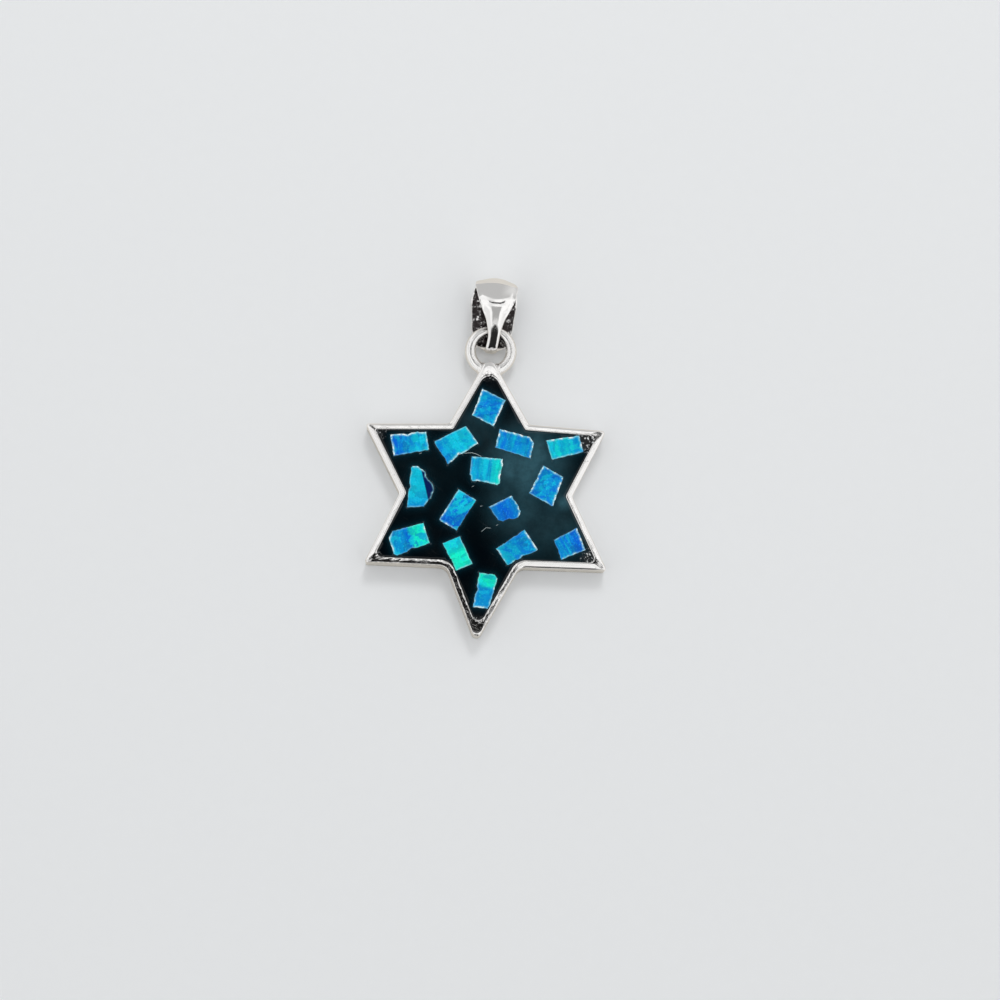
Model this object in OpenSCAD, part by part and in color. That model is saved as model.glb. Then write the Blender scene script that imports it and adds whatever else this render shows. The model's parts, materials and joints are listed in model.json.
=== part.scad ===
// A silver star pendant: a star-shaped setting filled with dark resin and opal chips, lying on its back.
// The origin is the middle of the setting's flat back, +Y points to the bail and +Z to the viewer.

/* [Setting] */
// How far the star's points reach from its centre, before they are rounded
point_reach = 12.6; // [12.2:0.1:14]
// How far the notches between the points lie from the centre
notch_reach = 7.35; // [7:0.05:8]
// Height of the setting from its flat back to the rim
setting_h = 2; // [1.8:0.1:3]
// Thickness of the wall round the inlay
wall_t = 0.55; // [0.45:0.05:0.7]
// Thickness of the back plate
back_t = 0.5; // [0.3:0.05:0.6]
// Rounding of the star's points
point_round = 0.35; // [0.2:0.05:0.5]
// Rounding of the notches, seen from outside
notch_round = 0.8; // [0.4:0.05:1.2]
// Rounding of the well where it runs into the points
well_round = 0.5; // [0.3:0.05:0.55]

/* [Inlay] */
// How far the resin lies below the rim
resin_drop = 0.08; // [0:0.02:0.2]
// Gap between the resin and the metal round it
resin_gap = 0.03; // [0.02:0.01:0.05]
// Length of a whole opal chip
chip_l = 3.3; // [2.8:0.1:3.5]
// Width of a whole opal chip
chip_w = 2.3; // [1.8:0.1:2.4]
// Thickness of the opal chips
chip_t = 0.9; // [0.5:0.05:1]
// Gap between each chip and the resin round it
chip_gap = 0.03; // [0.02:0.01:0.04]

/* [Jump ring] */
// Diameter of the jump ring's wire
wire_d = 1; // [0.7:0.05:1.1]
// Diameter of the jump ring's hole
ring_hole_d = 2.7; // [2.6:0.05:3.5]
// How deep the ring is soldered in behind the sharp end of the top point
ring_bite = 1.9; // [1.5:0.05:2.2]

/* [Bail] */
// Length of the bail from end to end
bail_l = 6.75; // [6.3:0.05:9]
// Width of the bail at its top
bail_w = 3.9; // [3:0.1:5]
// Width of the bail's narrow tongue, which passes through the jump ring
tongue_w = 1.05; // [0.8:0.05:1.2]
// Thickness of the bail's sheet
bail_t = 0.6; // [0.4:0.05:0.7]
// Inner diameter of the bail's top bend, where the chain runs
chain_hole_d = 3; // [2.4:0.1:3.6]
// Play of the jump ring's wire between the bail's front and back
bail_play = 0.1; // [0.05:0.05:0.3]
// Gap along the pendant between the ring's wire and the bail's foot
bail_slack = 0.95; // [0.4:0.05:1.1]
// How far the bail's front is bent to the right of its back
front_shift = 0.15; // [0:0.05:0.3]
// Lean of the bail to the right as it lies, in degrees
bail_lean = 2; // [-4:0.5:4]

/* [Hidden] */
// The star's twelve corners as filed by hand, from the right point round by the top
// [turn from its regular place in degrees, share of point_reach, share of point_round, share of well_round]
POINTS = [
    [1.5, 0.99, 0.8, 0.4],
    [0.5, 1.04, 1.9, 1.8],
    [0.5, 1, 0.5, 0.2],
    [1, 0.97, 0.5, 0.9],
    [-1.5, 1.035, 1.3, 1.7],
    [1, 1, 0.5, 0.9]
];
// [turn from its regular place in degrees, share of notch_reach, share of notch_round]
NOTCHES = [[1.5, 1.05, 0.6], [-2, 1.01, 0.6], [-0.5, 1.04, 0.5], [3, 0.965, 1.3], [-2, 0.95, 1.2], [3, 1.055, 0.6]];
TOP_POINT = 1;
POINT_STEP = 60;
FIRST_POINT = 30;
// Steps in each rounded corner
ROUND_STEPS = 10;

// The opal chips, each a split slab that is nearly a rectangle
// [x and y as shares of point_reach, turn in degrees, shares of chip_l and chip_w,
//  taper and lean as shares of the half width, shares of chip_w broken off the four corners]
CHIPS = [
    [-0.55, 0.365, 10, 0.99, 0.82, 0.06, -0.03, [0, 0.04, 0, 0]],
    [-0.22, 0.376, 33, 1, 0.95, 0.1, -0.05, [0, 0, 0, 0.06]],
    [0.195, 0.398, -14, 1.02, 0.81, -0.04, -0.06, [0, 0, 0.2, 0]],
    [0.553, 0.388, 14, 0.92, 0.76, 0.06, -0.05, [0.05, 0.05, 0, 0]],
    [-0.474, 0.056, -85, 1.13, 0.76, -0.33, 0, [0.05, 0, 0.35, 0.24]],
    [-0.005, 0.196, -6, 0.85, 1, -0.08, -0.03, [0.18, 0.1, 0, 0]],
    [0.433, 0.103, 69, 0.87, 1, 0.08, 0.12, [0.05, 0.04, 0, 0]],
    [-0.193, -0.1, 60, 1, 0.82, 0, -0.03, [0, 0, 0, 0]],
    [0.146, -0.08, 29, 0.7, 0.77, 0, -0.12, [0.15, 0.05, 0, 0]],
    [-0.527, -0.32, 21, 1.02, 0.92, 0.08, 0.02, [0.12, 0, 0, 0.22]],
    [-0.18, -0.41, 117, 0.83, 0.73, 0, 0.04, [0, 0, 0, 0]],
    [0.232, -0.355, 33, 0.94, 0.88, -0.1, -0.05, [0.04, 0.05, 0, 0]],
    [0.603, -0.31, 27, 0.72, 0.89, -0.05, 0.07, [0, 0, 0, 0]],
    [0.021, -0.665, 79, 0.96, 0.7, -0.09, -0.13, [0.04, 0.15, 0, 0.04]],
    [-0.003, 0.648, 70, 0.81, 1, -0.03, 0.09, [0, 0, 0, 0]]
];

// The bail's front seen from above, from its foot to its top
// [share of bail_l, share of the flare from the tongue's width to the full width, share of front_shift]
BAIL_FRONT = [
    [0, 0, 0], [0.17, 0, 1], [0.29, 0.12, 1], [0.38, 0.26, 1], [0.46, 0.46, 1], [0.61, 0.73, 1],
    [0.76, 0.9, 0.7], [0.88, 0.97, 0.3], [0.95, 0.86, 0], [1, 0.5, 0]
];
// The bail's back seen from above, with the same columns
BAIL_BACK = [
    [0, 0, 0], [0.03, 0, 0], [0.08, 0.38, 0], [0.17, 0.66, 0], [0.31, 0.9, 0], [0.5, 1, 0],
    [0.88, 1, 0], [0.95, 0.86, 0], [1, 0.5, 0]
];

ring_hole_r = ring_hole_d / 2;
wire_r = wire_d / 2;
ring_mid_r = ring_hole_r + wire_r;
ring_z = bail_t + bail_play + wire_r;
top_point_y = point_reach * POINTS[TOP_POINT][1];
ring_y = top_point_y - ring_bite + ring_hole_r + wire_d;

foot_out_r = wire_r + bail_play + bail_t;
head_out_r = chain_hole_d / 2 + bail_t;
foot_y = ring_y + ring_hole_r - bail_slack + wire_r + bail_play;
head_y = foot_y - foot_out_r + bail_l - head_out_r;
bail_foot_y = foot_y - foot_out_r;

resin_floor = back_t + resin_gap;
resin_top = setting_h - resin_drop;
chip_floor = resin_top - chip_t;

spare = 1;
$fn = 64;

function unit(v) = v / norm(v);
function left_of(v) = [-v.y, v.x];
function at(reach, bearing) = reach * [cos(bearing), sin(bearing)];
function turned(v, a) = [v.x * cos(a) - v.y * sin(a), v.x * sin(a) + v.y * cos(a)];

// The star's sharp corners, anticlockwise: a point, a notch, a point and so on
STAR = [for (i = [0:len(POINTS) - 1]) each [
    at(point_reach * POINTS[i][1], FIRST_POINT + i * POINT_STEP + POINTS[i][0]),
    at(notch_reach * NOTCHES[i][1], FIRST_POINT + (i + 0.5) * POINT_STEP + NOTCHES[i][0])
]];

// The corners of an anticlockwise outline whose sides have moved inwards by d
function inset(corners, d) = [
    for (i = [0:len(corners) - 1])
    let (
        before = corners[(i + len(corners) - 1) % len(corners)],
        after = corners[(i + 1) % len(corners)],
        n1 = left_of(unit(corners[i] - before)),
        n2 = left_of(unit(after - corners[i]))
    )
    corners[i] + d * (n1 + n2) / (1 + n1 * n2)
];

// An outline with each corner rounded by the radius in its place, as short steps along an arc
function rounded(corners, radii) = [
    for (i = [0:len(corners) - 1])
    let (
        to_before = unit(corners[(i + len(corners) - 1) % len(corners)] - corners[i]),
        to_after = unit(corners[(i + 1) % len(corners)] - corners[i]),
        to_middle = unit(to_before + to_after),
        half = acos(to_before * to_after) / 2,
        middle = corners[i] + radii[i] / sin(half) * to_middle,
        start = corners[i] + radii[i] / tan(half) * to_before - middle,
        sweep = sign(cross(to_before, to_after)) * (180 - 2 * half)
    )
    each radii[i] > 0
        ? [for (k = [0:ROUND_STEPS]) middle + turned(start, -sweep * k / ROUND_STEPS)]
        : [corners[i]]
];

// The setting's outline, with its points and notches rounded
module star_outline() {
    polygon(rounded(STAR, [
        for (i = [0:len(POINTS) - 1]) each [point_round * POINTS[i][2], notch_round * NOTCHES[i][2]]
    ]));
}

// The outline of the well, or of what lies in it with a gap all round
module well_outline(gap) {
    polygon(rounded(inset(STAR, wall_t + gap), [
        for (i = [0:len(POINTS) - 1]) each [well_round * POINTS[i][3] - gap, 0]
    ]));
}

module jump_ring() {
    translate([0, ring_y, ring_z])
        rotate_extrude()
            translate([ring_mid_r, 0])
                circle(wire_r);
}

module star_setting() {
    color("silver")
        difference() {
            union() {
                linear_extrude(setting_h)
                    star_outline();
                jump_ring();
            }
            translate([0, 0, back_t])
                linear_extrude(setting_h)
                    well_outline(0);
        }
}

// A chip's outline, grown by d: a tapered, leaning rectangle with broken corners
function chip_corners(row, d) = let (
    l = chip_l * row[3] / 2,
    w = chip_w * row[4] / 2,
    taper = row[5],
    lean = row[6] * w,
    raw = [
        [-l - lean, -w * (1 + taper)],
        [l - lean, -w * (1 - taper)],
        [l + lean, w * (1 - taper)],
        [-l + lean, w * (1 + taper)]
    ]
) inset([
    for (i = [0:3])
    let (
        broken = row[7][i] * chip_w,
        before = raw[(i + 3) % 4],
        after = raw[(i + 1) % 4]
    )
    each broken > 0
        ? [raw[i] + broken * unit(before - raw[i]), raw[i] + broken * unit(after - raw[i])]
        : [raw[i]]
], -d);

module chip_outline(row, d) {
    translate(point_reach * [row[0], row[1]])
        rotate(row[2])
            polygon(chip_corners(row, d));
}

// A chip is ground away where it would run into the wall
module opal(i) {
    color("deepskyblue")
        translate([0, 0, chip_floor])
            linear_extrude(chip_t)
                intersection() {
                    chip_outline(CHIPS[i], 0);
                    well_outline(resin_gap + chip_gap);
                }
}

module resin() {
    color([0.01, 0.05, 0.07])
        difference() {
            translate([0, 0, resin_floor])
                linear_extrude(resin_top - resin_floor)
                    well_outline(resin_gap);
            for (row = CHIPS)
                translate([0, 0, chip_floor - chip_gap])
                    linear_extrude(chip_t + spare)
                        chip_outline(row, chip_gap);
        }
}

// The bail's side outline, moved inwards by d: two round bends and the sheet between them
module bail_side(d) {
    foot = [foot_y, foot_out_r];
    head = [head_y, head_out_r];
    rise = atan2(head.y - foot.y, head.x - foot.x);
    over = [-sin(2 * rise), cos(2 * rise)];
    under = [0, -1];
    foot_r = foot_out_r - d;
    head_r = head_out_r - d;
    translate(foot) circle(foot_r);
    translate(head) circle(head_r);
    polygon([foot + foot_r * under, head + head_r * under, head + head_r * over, foot + foot_r * over]);
}

// One half of the bail's loop, in front of or behind the line through its two bends
module bail_half(side) {
    foot = [foot_y, foot_out_r];
    along = unit([head_y, head_out_r] - foot);
    reach = bail_l + spare;
    rotate([90, 0, 90])
        linear_extrude(bail_w + 2 * spare, center = true)
            intersection() {
                difference() {
                    bail_side(0);
                    bail_side(bail_t);
                }
                polygon([
                    foot - reach * along,
                    foot - reach * along + side * reach * left_of(along),
                    foot + reach * along + side * reach * left_of(along),
                    foot + reach * along
                ]);
            }
}

// One corner of the bail's plan, on the right side or, with side -1, on the left
function plan_corner(row, side) = [
    row[2] * front_shift + side * (tongue_w + row[1] * (bail_w - tongue_w)) / 2,
    bail_foot_y + row[0] * bail_l
];

module bail_plan(rows) {
    linear_extrude(2 * head_out_r + spare)
        polygon([
            for (i = [0:len(rows) - 1]) plan_corner(rows[i], 1),
            for (i = [len(rows) - 1:-1:0]) plan_corner(rows[i], -1)
        ]);
}

module bail() {
    color("gainsboro")
        translate([0, ring_y, 0])
            rotate(-bail_lean)
                translate([0, -ring_y, 0])
                    union() {
                        intersection() {
                            bail_half(1);
                            bail_plan(BAIL_FRONT);
                        }
                        intersection() {
                            bail_half(-1);
                            bail_plan(BAIL_BACK);
                        }
                    }
}

star_setting();
resin();
bail();
opal(0);  // opal_01
opal(1);  // opal_02
opal(2);  // opal_03
opal(3);  // opal_04
opal(4);  // opal_05
opal(5);  // opal_06
opal(6);  // opal_07
opal(7);  // opal_08
opal(8);  // opal_09
opal(9);  // opal_10
opal(10);  // opal_11
opal(11);  // opal_12
opal(12);  // opal_13
opal(13);  // opal_14
opal(14);  // opal_15
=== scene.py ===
"""Looks of the star pendant: a silver tray inlaid with dark resin and opal chips, a jump ring and a bail.

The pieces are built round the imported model, in metres, with the flat back on the floor.
"""
import json
import math

import bpy
import numpy as np
from mathutils import Matrix, Vector, noise
from mathutils.geometry import delaunay_2d_cdt


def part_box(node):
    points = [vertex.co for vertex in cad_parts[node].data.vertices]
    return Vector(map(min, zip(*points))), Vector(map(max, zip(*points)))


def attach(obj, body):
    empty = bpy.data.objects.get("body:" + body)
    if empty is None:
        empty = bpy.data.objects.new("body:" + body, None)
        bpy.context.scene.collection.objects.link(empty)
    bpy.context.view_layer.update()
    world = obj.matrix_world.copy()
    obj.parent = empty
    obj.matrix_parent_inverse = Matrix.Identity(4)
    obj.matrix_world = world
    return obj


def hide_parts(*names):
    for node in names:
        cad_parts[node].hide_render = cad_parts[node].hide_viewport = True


bl_info = {
    "name": "Star Pendant",
    "version": (1, 0, 0),
    "blender": (4, 5, 0),
    "location": "3D View > Sidebar > Pendant",
    "description": "Builds the looks of an opal inlay star pendant round its packed model",
    "category": "Add Mesh",
}

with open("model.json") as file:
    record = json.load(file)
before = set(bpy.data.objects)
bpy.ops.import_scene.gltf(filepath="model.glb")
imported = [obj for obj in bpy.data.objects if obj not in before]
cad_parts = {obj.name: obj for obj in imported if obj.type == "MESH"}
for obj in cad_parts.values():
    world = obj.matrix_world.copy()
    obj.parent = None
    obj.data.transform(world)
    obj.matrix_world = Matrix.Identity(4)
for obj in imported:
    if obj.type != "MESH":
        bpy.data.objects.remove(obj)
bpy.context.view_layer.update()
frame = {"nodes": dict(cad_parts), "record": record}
MM = 0.001
OPAL_NODES = sorted(name for name in frame["nodes"] if name.startswith("opal_"))
MOUNTS = {mount["name"]: mount for mount in frame["record"]["mounts"]}


# Plane geometry

def unit(vectors):
    """Each row of vectors with length 1."""
    return vectors / np.linalg.norm(vectors, axis=-1, keepdims=True)


def facing(angle):
    """The plane direction at an angle in radians."""
    return np.array([math.cos(angle), math.sin(angle)])


def left_of(vectors):
    """Each row of plane vectors turned by a quarter turn to the left."""
    return np.stack([-vectors[..., 1], vectors[..., 0]], axis=-1)


def cross(a, b):
    """The size of one plane vector's cross product with another."""
    return a[0] * b[1] - a[1] * b[0]


def turned(vectors, angle):
    """Plane vectors turned by an angle in radians."""
    cos, sin = math.cos(angle), math.sin(angle)
    return np.stack([vectors[..., 0] * cos - vectors[..., 1] * sin,
                     vectors[..., 0] * sin + vectors[..., 1] * cos], axis=-1)


def inwards(outline, reach=1):
    """The direction to the inside at each point of an anticlockwise outline."""
    return left_of(unit(np.roll(outline, -reach, axis=0) - np.roll(outline, reach, axis=0)))


def furthest(points, bearing):
    """The place in a list of the point that lies furthest towards a bearing in degrees."""
    return int((points @ facing(math.radians(bearing))).argmax())


def node_points(node):
    """The corners of a CAD node's mesh, in the frame."""
    return np.array([v.co for v in frame["nodes"][node].data.vertices], float)


def top_outlines(node):
    """The closed outlines of a node's flat top, longest first: anticlockwise, and holes clockwise."""
    mesh = frame["nodes"][node].data
    places = node_points(node)
    top = places[:, 2].max()
    keys = [tuple(np.round(p[:2] / MM, 4)) for p in places]
    edges = {}
    for face in mesh.polygons:
        corners = list(face.vertices)
        if all(abs(places[c, 2] - top) < 0.001 * MM for c in corners):
            for here, there in zip(corners, corners[1:] + corners[:1]):
                edges[keys[here], keys[there]] = places[here, :2]
    following = {here: there for here, there in edges if (there, here) not in edges}
    starts = {here: edges[here, there] for here, there in following.items()}
    outlines = []
    while following:
        start = here = min(following)
        outline = []
        while here in following:
            outline.append(starts[here])
            here = following.pop(here)
        if here != start:
            raise RuntimeError(f"the top of {node} has an open outline")
        outlines.append(np.array(outline))
    return sorted(outlines, key=lambda line: -np.linalg.norm(np.roll(line, -1, axis=0) - line, axis=1).sum())


def corners_and_radii(outline, straight_share=0.3):
    """The sharp corners between an outline's straight sides, and the radius that rounds each."""
    along = np.roll(outline, -1, axis=0) - outline
    length = np.linalg.norm(along, axis=1)
    sides = np.flatnonzero(length > straight_share * length.max())
    corners, radii = [], []
    for before, after in zip(np.roll(sides, 1), sides):
        to_before, to_after = -unit(along[before]), unit(along[after])
        end, start = outline[(before + 1) % len(outline)], outline[after]
        reach = cross(start - end, to_after) / cross(to_before, to_after)
        half = math.acos(np.clip(to_before @ to_after, -1, 1)) / 2
        corners.append(end + reach * to_before)
        radii.append(abs(reach) * math.tan(half))
    return np.array(corners), np.array(radii)


def inset(corners, distances):
    """The corners of an anticlockwise outline whose sides move inwards, by one distance or each its own."""
    before, after = np.roll(corners, 1, axis=0), np.roll(corners, -1, axis=0)
    n1, n2 = left_of(unit(corners - before)), left_of(unit(after - corners))
    turn = (n1 * n2).sum(axis=1)
    after = np.broadcast_to(distances, len(corners))
    before = np.roll(after, 1)
    moved = n1 * (before - turn * after)[:, None] + n2 * (after - turn * before)[:, None]
    return corners + moved / (1 - turn ** 2)[:, None]


# The steps of the star's outlines round each corner and along each side, and their sharpest corner in mm
ARC_STEPS = 14
SIDE_STEPS = 44
SHARPEST = 0.06


def rounded_outline(corners, radii):
    """Points along an outline with rounded corners, from the first corner's arc on."""
    arcs = []
    for i, (corner, radius) in enumerate(zip(corners, np.maximum(radii, SHARPEST * MM))):
        to_before = unit(corners[i - 1] - corner)
        to_after = unit(corners[(i + 1) % len(corners)] - corner)
        half = math.acos(to_before @ to_after) / 2
        middle = corner + radius / math.sin(half) * unit(to_before + to_after)
        start = corner + radius / math.tan(half) * to_before - middle
        sweep = -math.copysign(math.pi - 2 * half, cross(to_before, to_after))
        arcs.append([middle + turned(start, sweep * k / ARC_STEPS) for k in range(ARC_STEPS + 1)])
    points = []
    for arc, following in zip(arcs, arcs[1:] + arcs[:1]):
        start, end = arc[-1], following[0]
        points += arc + [start + (end - start) * k / SIDE_STEPS for k in range(1, SIDE_STEPS)]
    return np.array(points)


def blended_along(values):
    """A value for each point of rounded_outline, from one value for each side, blended round the corners."""
    out = []
    for i, value in enumerate(values):
        out += [values[i - 1] + (value - values[i - 1]) * k / ARC_STEPS for k in range(ARC_STEPS + 1)]
        out += [value] * (SIDE_STEPS - 1)
    return np.array(out)


def inside(points, outline):
    """Which points lie inside a closed outline."""
    x, y = points[:, :1], points[:, 1:]
    x1, y1 = outline[:, 0], outline[:, 1]
    x2, y2 = np.roll(x1, -1), np.roll(y1, -1)
    crosses = (y1 > y) != (y2 > y)
    at = x1 + (y - y1) / np.where(y2 == y1, 1, y2 - y1) * (x2 - x1)
    return (crosses & (x < at)).sum(axis=1) % 2 == 1


def distance_to(points, outline):
    """The distance from each point to a closed outline."""
    a, b = outline[None], np.roll(outline, -1, axis=0)[None]
    p, ab = points[:, None], b - a
    t = np.clip(((p - a) * ab).sum(axis=2) / (ab ** 2).sum(axis=2), 0, 1)
    return np.linalg.norm(p - a - t[..., None] * ab, axis=2).min(axis=1)


def distance_to_points(points, others):
    """The distance from each point to the nearest of some others."""
    return np.linalg.norm(points[:, None] - others[None], axis=2).min(axis=1)


def clear_of(points, outlines, distance):
    """Which points lie outside some closed outlines, and further from them than a distance."""
    clear = np.ones(len(points), bool)
    for outline in outlines:
        clear &= ~inside(points, outline) & (distance_to(points, outline) > distance)
    return clear


def noise_at(points, scale, seed):
    """Smooth noise from -1 to 1 at each point, with features about scale metres wide."""
    places = np.zeros((len(points), 3))
    places[:, :points.shape[1]] = points / scale
    return np.array([noise.noise(Vector((x, y, seed + z))) for x, y, z in places])


def tip_patches(points, outline, rows, wander, lump, fade):
    """How far each point is in a patch round one of an outline's tips: [bearing in degrees, reach in mm,
    strength]. The patches' borders wander by some mm in lumps of some mm, and fade over some mm."""
    values = np.zeros(len(points))
    for bearing, reach, strength in rows:
        away = np.linalg.norm(points[:, :2] - outline[furthest(outline, bearing)], axis=1)
        away += wander * MM * noise_at(points, lump * MM, bearing)
        values = np.maximum(values, strength * np.clip((reach * MM - away) / (fade * MM), 0, 1))
    return values


# Meshes

def new_piece(name, points, faces, material, replaces):
    """A smooth mesh object in the frame, riding on the part's one body."""
    mesh = bpy.data.meshes.new(name)
    mesh.from_pydata([tuple(p) for p in points], [], [tuple(int(i) for i in f) for f in faces])
    mesh.validate()
    mesh.materials.append(material)
    mesh.polygons.foreach_set("use_smooth", [True] * len(mesh.polygons))
    piece = bpy.data.objects.new(name, mesh)
    bpy.context.scene.collection.objects.link(piece)
    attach(piece, "root")
    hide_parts(*replaces)
    return piece


def ring_faces(rings, size, start=0, closed=False):
    """Quads between consecutive rings of points, and from the last to the first if they are closed."""
    faces = []
    for ring in range(rings if closed else rings - 1):
        low, high = start + ring * size, start + (ring + 1) % rings * size
        faces += [(low + k, low + (k + 1) % size, high + (k + 1) % size, high + k) for k in range(size)]
    return faces


def keep_flat(piece, test):
    """Flat shading on the faces that pass a test."""
    for face in piece.data.polygons:
        if test(face):
            face.use_smooth = False


def point_values(piece, name, values):
    """Stores one number for each point of a piece, for its material to read."""
    stored = piece.data.attributes.new(name, "FLOAT", "POINT")
    stored.data.foreach_set("value", np.asarray(values, np.float32))


# Shader helpers

class Value:
    """A node's output, which sums can be written with as with a plain number or vector."""

    def __init__(self, socket):
        self.socket = socket

    def fed_to(self, kind, inputs, output, **settings):
        """An output of a new node in the same tree."""
        return add(self.socket.id_data, kind, inputs, **settings)[output]

    def maths(self, operation, *values, clamp=False):
        """A Math node's result, or a Vector Math node's where this is a vector or a colour."""
        inputs = dict(enumerate(values))
        if self.socket.type == "VALUE":
            return self.fed_to("ShaderNodeMath", inputs, 0, operation=operation, use_clamp=clamp)
        return self.fed_to("ShaderNodeVectorMath", inputs, 0, operation=operation)

    def __add__(self, other):
        return self.maths("ADD", self, other)

    def __sub__(self, other):
        return self.maths("SUBTRACT", self, other)

    def __rsub__(self, other):
        return self.maths("SUBTRACT", other, self)

    def __mul__(self, other):
        return self.maths("MULTIPLY", self, other)

    def __truediv__(self, other):
        return self.maths("DIVIDE", self, other)

    def scaled(self, scale):
        """This vector or colour times a number."""
        return self.fed_to("ShaderNodeVectorMath", {0: self, "Scale": scale}, 0, operation="SCALE")

    def rotated(self, angle):
        """This vector turned about the vertical axis."""
        inputs = {"Vector": self, "Angle": angle}
        return self.fed_to("ShaderNodeVectorRotate", inputs, "Vector", rotation_type="Z_AXIS")

    def ranged(self, from_low, from_high, to_low=0.0, to_high=1.0, kind="SMOOTHSTEP"):
        """This value moved from one range to another, by a smooth step unless another kind is named."""
        inputs = {
            "Value": self, "From Min": from_low, "From Max": from_high, "To Min": to_low, "To Max": to_high}
        return self.fed_to("ShaderNodeMapRange", inputs, "Result", interpolation_type=kind)

    def between(self, first, second):
        """A colour mixed from two, with this share of the second."""
        return self.fed_to("ShaderNodeMix", {0: self, 6: first, 7: second}, 2, data_type="RGBA")

    def noise(self, scale, detail=2.0, roughness=0.5, distortion=0.0, w=None, output="Fac"):
        """A noise texture at this place. It has a fourth dimension where w is given."""
        inputs = {
            "Vector": self, "Scale": scale, "Detail": detail, "Roughness": roughness,
            "Distortion": distortion, "W": w}
        dimensions = "3D" if w is None else "4D"
        return self.fed_to("ShaderNodeTexNoise", inputs, output, noise_dimensions=dimensions)

    def bump(self, distance):
        """The normal that this height gives over a distance in mm."""
        inputs = {"Strength": 1.0, "Distance": distance * MM, "Height": self}
        return self.fed_to("ShaderNodeBump", inputs, "Normal")


class Outputs:
    """A node's outputs as values, by their names or places."""

    def __init__(self, node):
        self.node = node

    def __getitem__(self, key):
        return Value(self.node.outputs[key])


def feed(node, inputs):
    """Sets a node's inputs, each by its name or place, to another node's output or to a plain value."""
    for key, value in inputs.items():
        if isinstance(value, Value):
            node.id_data.links.new(value.socket, node.inputs[key])
        elif value is not None:
            node.inputs[key].default_value = value


def add(tree, kind, inputs=None, **settings):
    """The outputs of a new node with its settings and inputs."""
    node = tree.nodes.new(kind)
    for name, value in settings.items():
        setattr(node, name, value)
    feed(node, inputs or {})
    return Outputs(node)


def object_place(tree):
    """The place on the piece itself, in metres."""
    return add(tree, "ShaderNodeTexCoord")["Object"]


def attribute(tree, name):
    """The number that point_values stored under a name."""
    return add(tree, "ShaderNodeAttribute", attribute_name=name)["Fac"]


def scratch_lines(place, rows, flattening, texture, line):
    """Straight scratches along several directions: [direction in radians, length in widths, seed]."""
    lines = None
    for turn, stretch, seed in rows:
        stretched = place.rotated(turn) * (1.0, stretch, flattening)
        scratch = stretched.noise(*texture, w=seed).ranged(*line)
        lines = scratch if lines is None else lines.maths("MAXIMUM", lines, scratch)
    return lines


def new_group(name, inputs, outputs):
    """A node group with the named sockets of each kind, its input node's outputs and its output node."""
    group = bpy.data.node_groups.new(name, "ShaderNodeTree")
    for direction, kinds in (("INPUT", inputs), ("OUTPUT", outputs)):
        for kind, names in kinds.items():
            for socket in names:
                group.interface.new_socket(name=socket, in_out=direction, socket_type="NodeSocket" + kind)
    return group, Outputs(group.nodes.new("NodeGroupInput")), group.nodes.new("NodeGroupOutput")


def use_group(tree, name, inputs):
    """The outputs of a node group in a material."""
    return add(tree, "ShaderNodeGroup", inputs, node_tree=bpy.data.node_groups[name])


def new_material(name, shader_values):
    """A material with one Principled BSDF, whose plain values are set on its own sockets."""
    material = bpy.data.materials.new(name)
    material.use_nodes = True
    shader = material.node_tree.nodes["Principled BSDF"]
    feed(shader, shader_values)
    return material, material.node_tree, shader


# Shared effects

def hand_polish_group():
    """Marks that hand polishing leaves in silver: soft waves, scratches at several angles and small pits."""
    group, given, result = new_group(
        "hand_polish", {"Float": ["Scale", "Wave", "Scratch", "Pits", "Low Roughness", "High Roughness"]},
        {"Float": ["Height", "Roughness", "Pit Mask"]})
    place = object_place(group).scaled(given["Scale"])
    scratches = scratch_lines(
        place, ((0.35, 26.0, 0.0), (1.35, 30.0, 3.7), (2.5, 22.0, 8.1)), 4.0,
        texture=(620.0, 3.0), line=(0.57, 0.68))
    cells = add(group, "ShaderNodeTexVoronoi", {"Scale": 5200.0, "Vector": place}, feature="F1")["Distance"]
    pit = cells.ranged(0.22, 0.1) * place.noise(900.0).ranged(0.6, 0.7)
    pit = pit.maths("MULTIPLY", pit, given["Pits"], clamp=True)
    height = place.noise(900.0, 1.5) * given["Wave"] - scratches * given["Scratch"] * 0.12 - pit * 0.5
    worn = scratches * 0.35 + place.noise(380.0, 4.0, 0.6).ranged(0.35, 0.75)
    roughness = worn.ranged(0.0, 1.0, given["Low Roughness"], given["High Roughness"], "LINEAR")
    feed(result, {"Height": height, "Roughness": roughness, "Pit Mask": pit})


def lapping_group():
    """Fine marks of the flat lap that ground resin and chips level: hair scratches and a little haze."""
    group, given, result = new_group(
        "lapping", {"Float": ["Low Roughness", "High Roughness"]}, {"Float": ["Height", "Roughness"]})
    place = object_place(group)
    lines = scratch_lines(
        place, ((0.6, 40.0, 1.0), (1.9, 40.0, 5.0)), 1.0, texture=(300.0, 4.0, 0.6), line=(0.62, 0.72))
    worn = lines * 0.3 + place.noise(330.0, 5.0, 0.65).ranged(0.38, 0.72)
    roughness = worn.ranged(0.0, 1.0, given["Low Roughness"], given["High Roughness"], "LINEAR")
    feed(result, {"Height": lines * -1.0, "Roughness": roughness})


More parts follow.
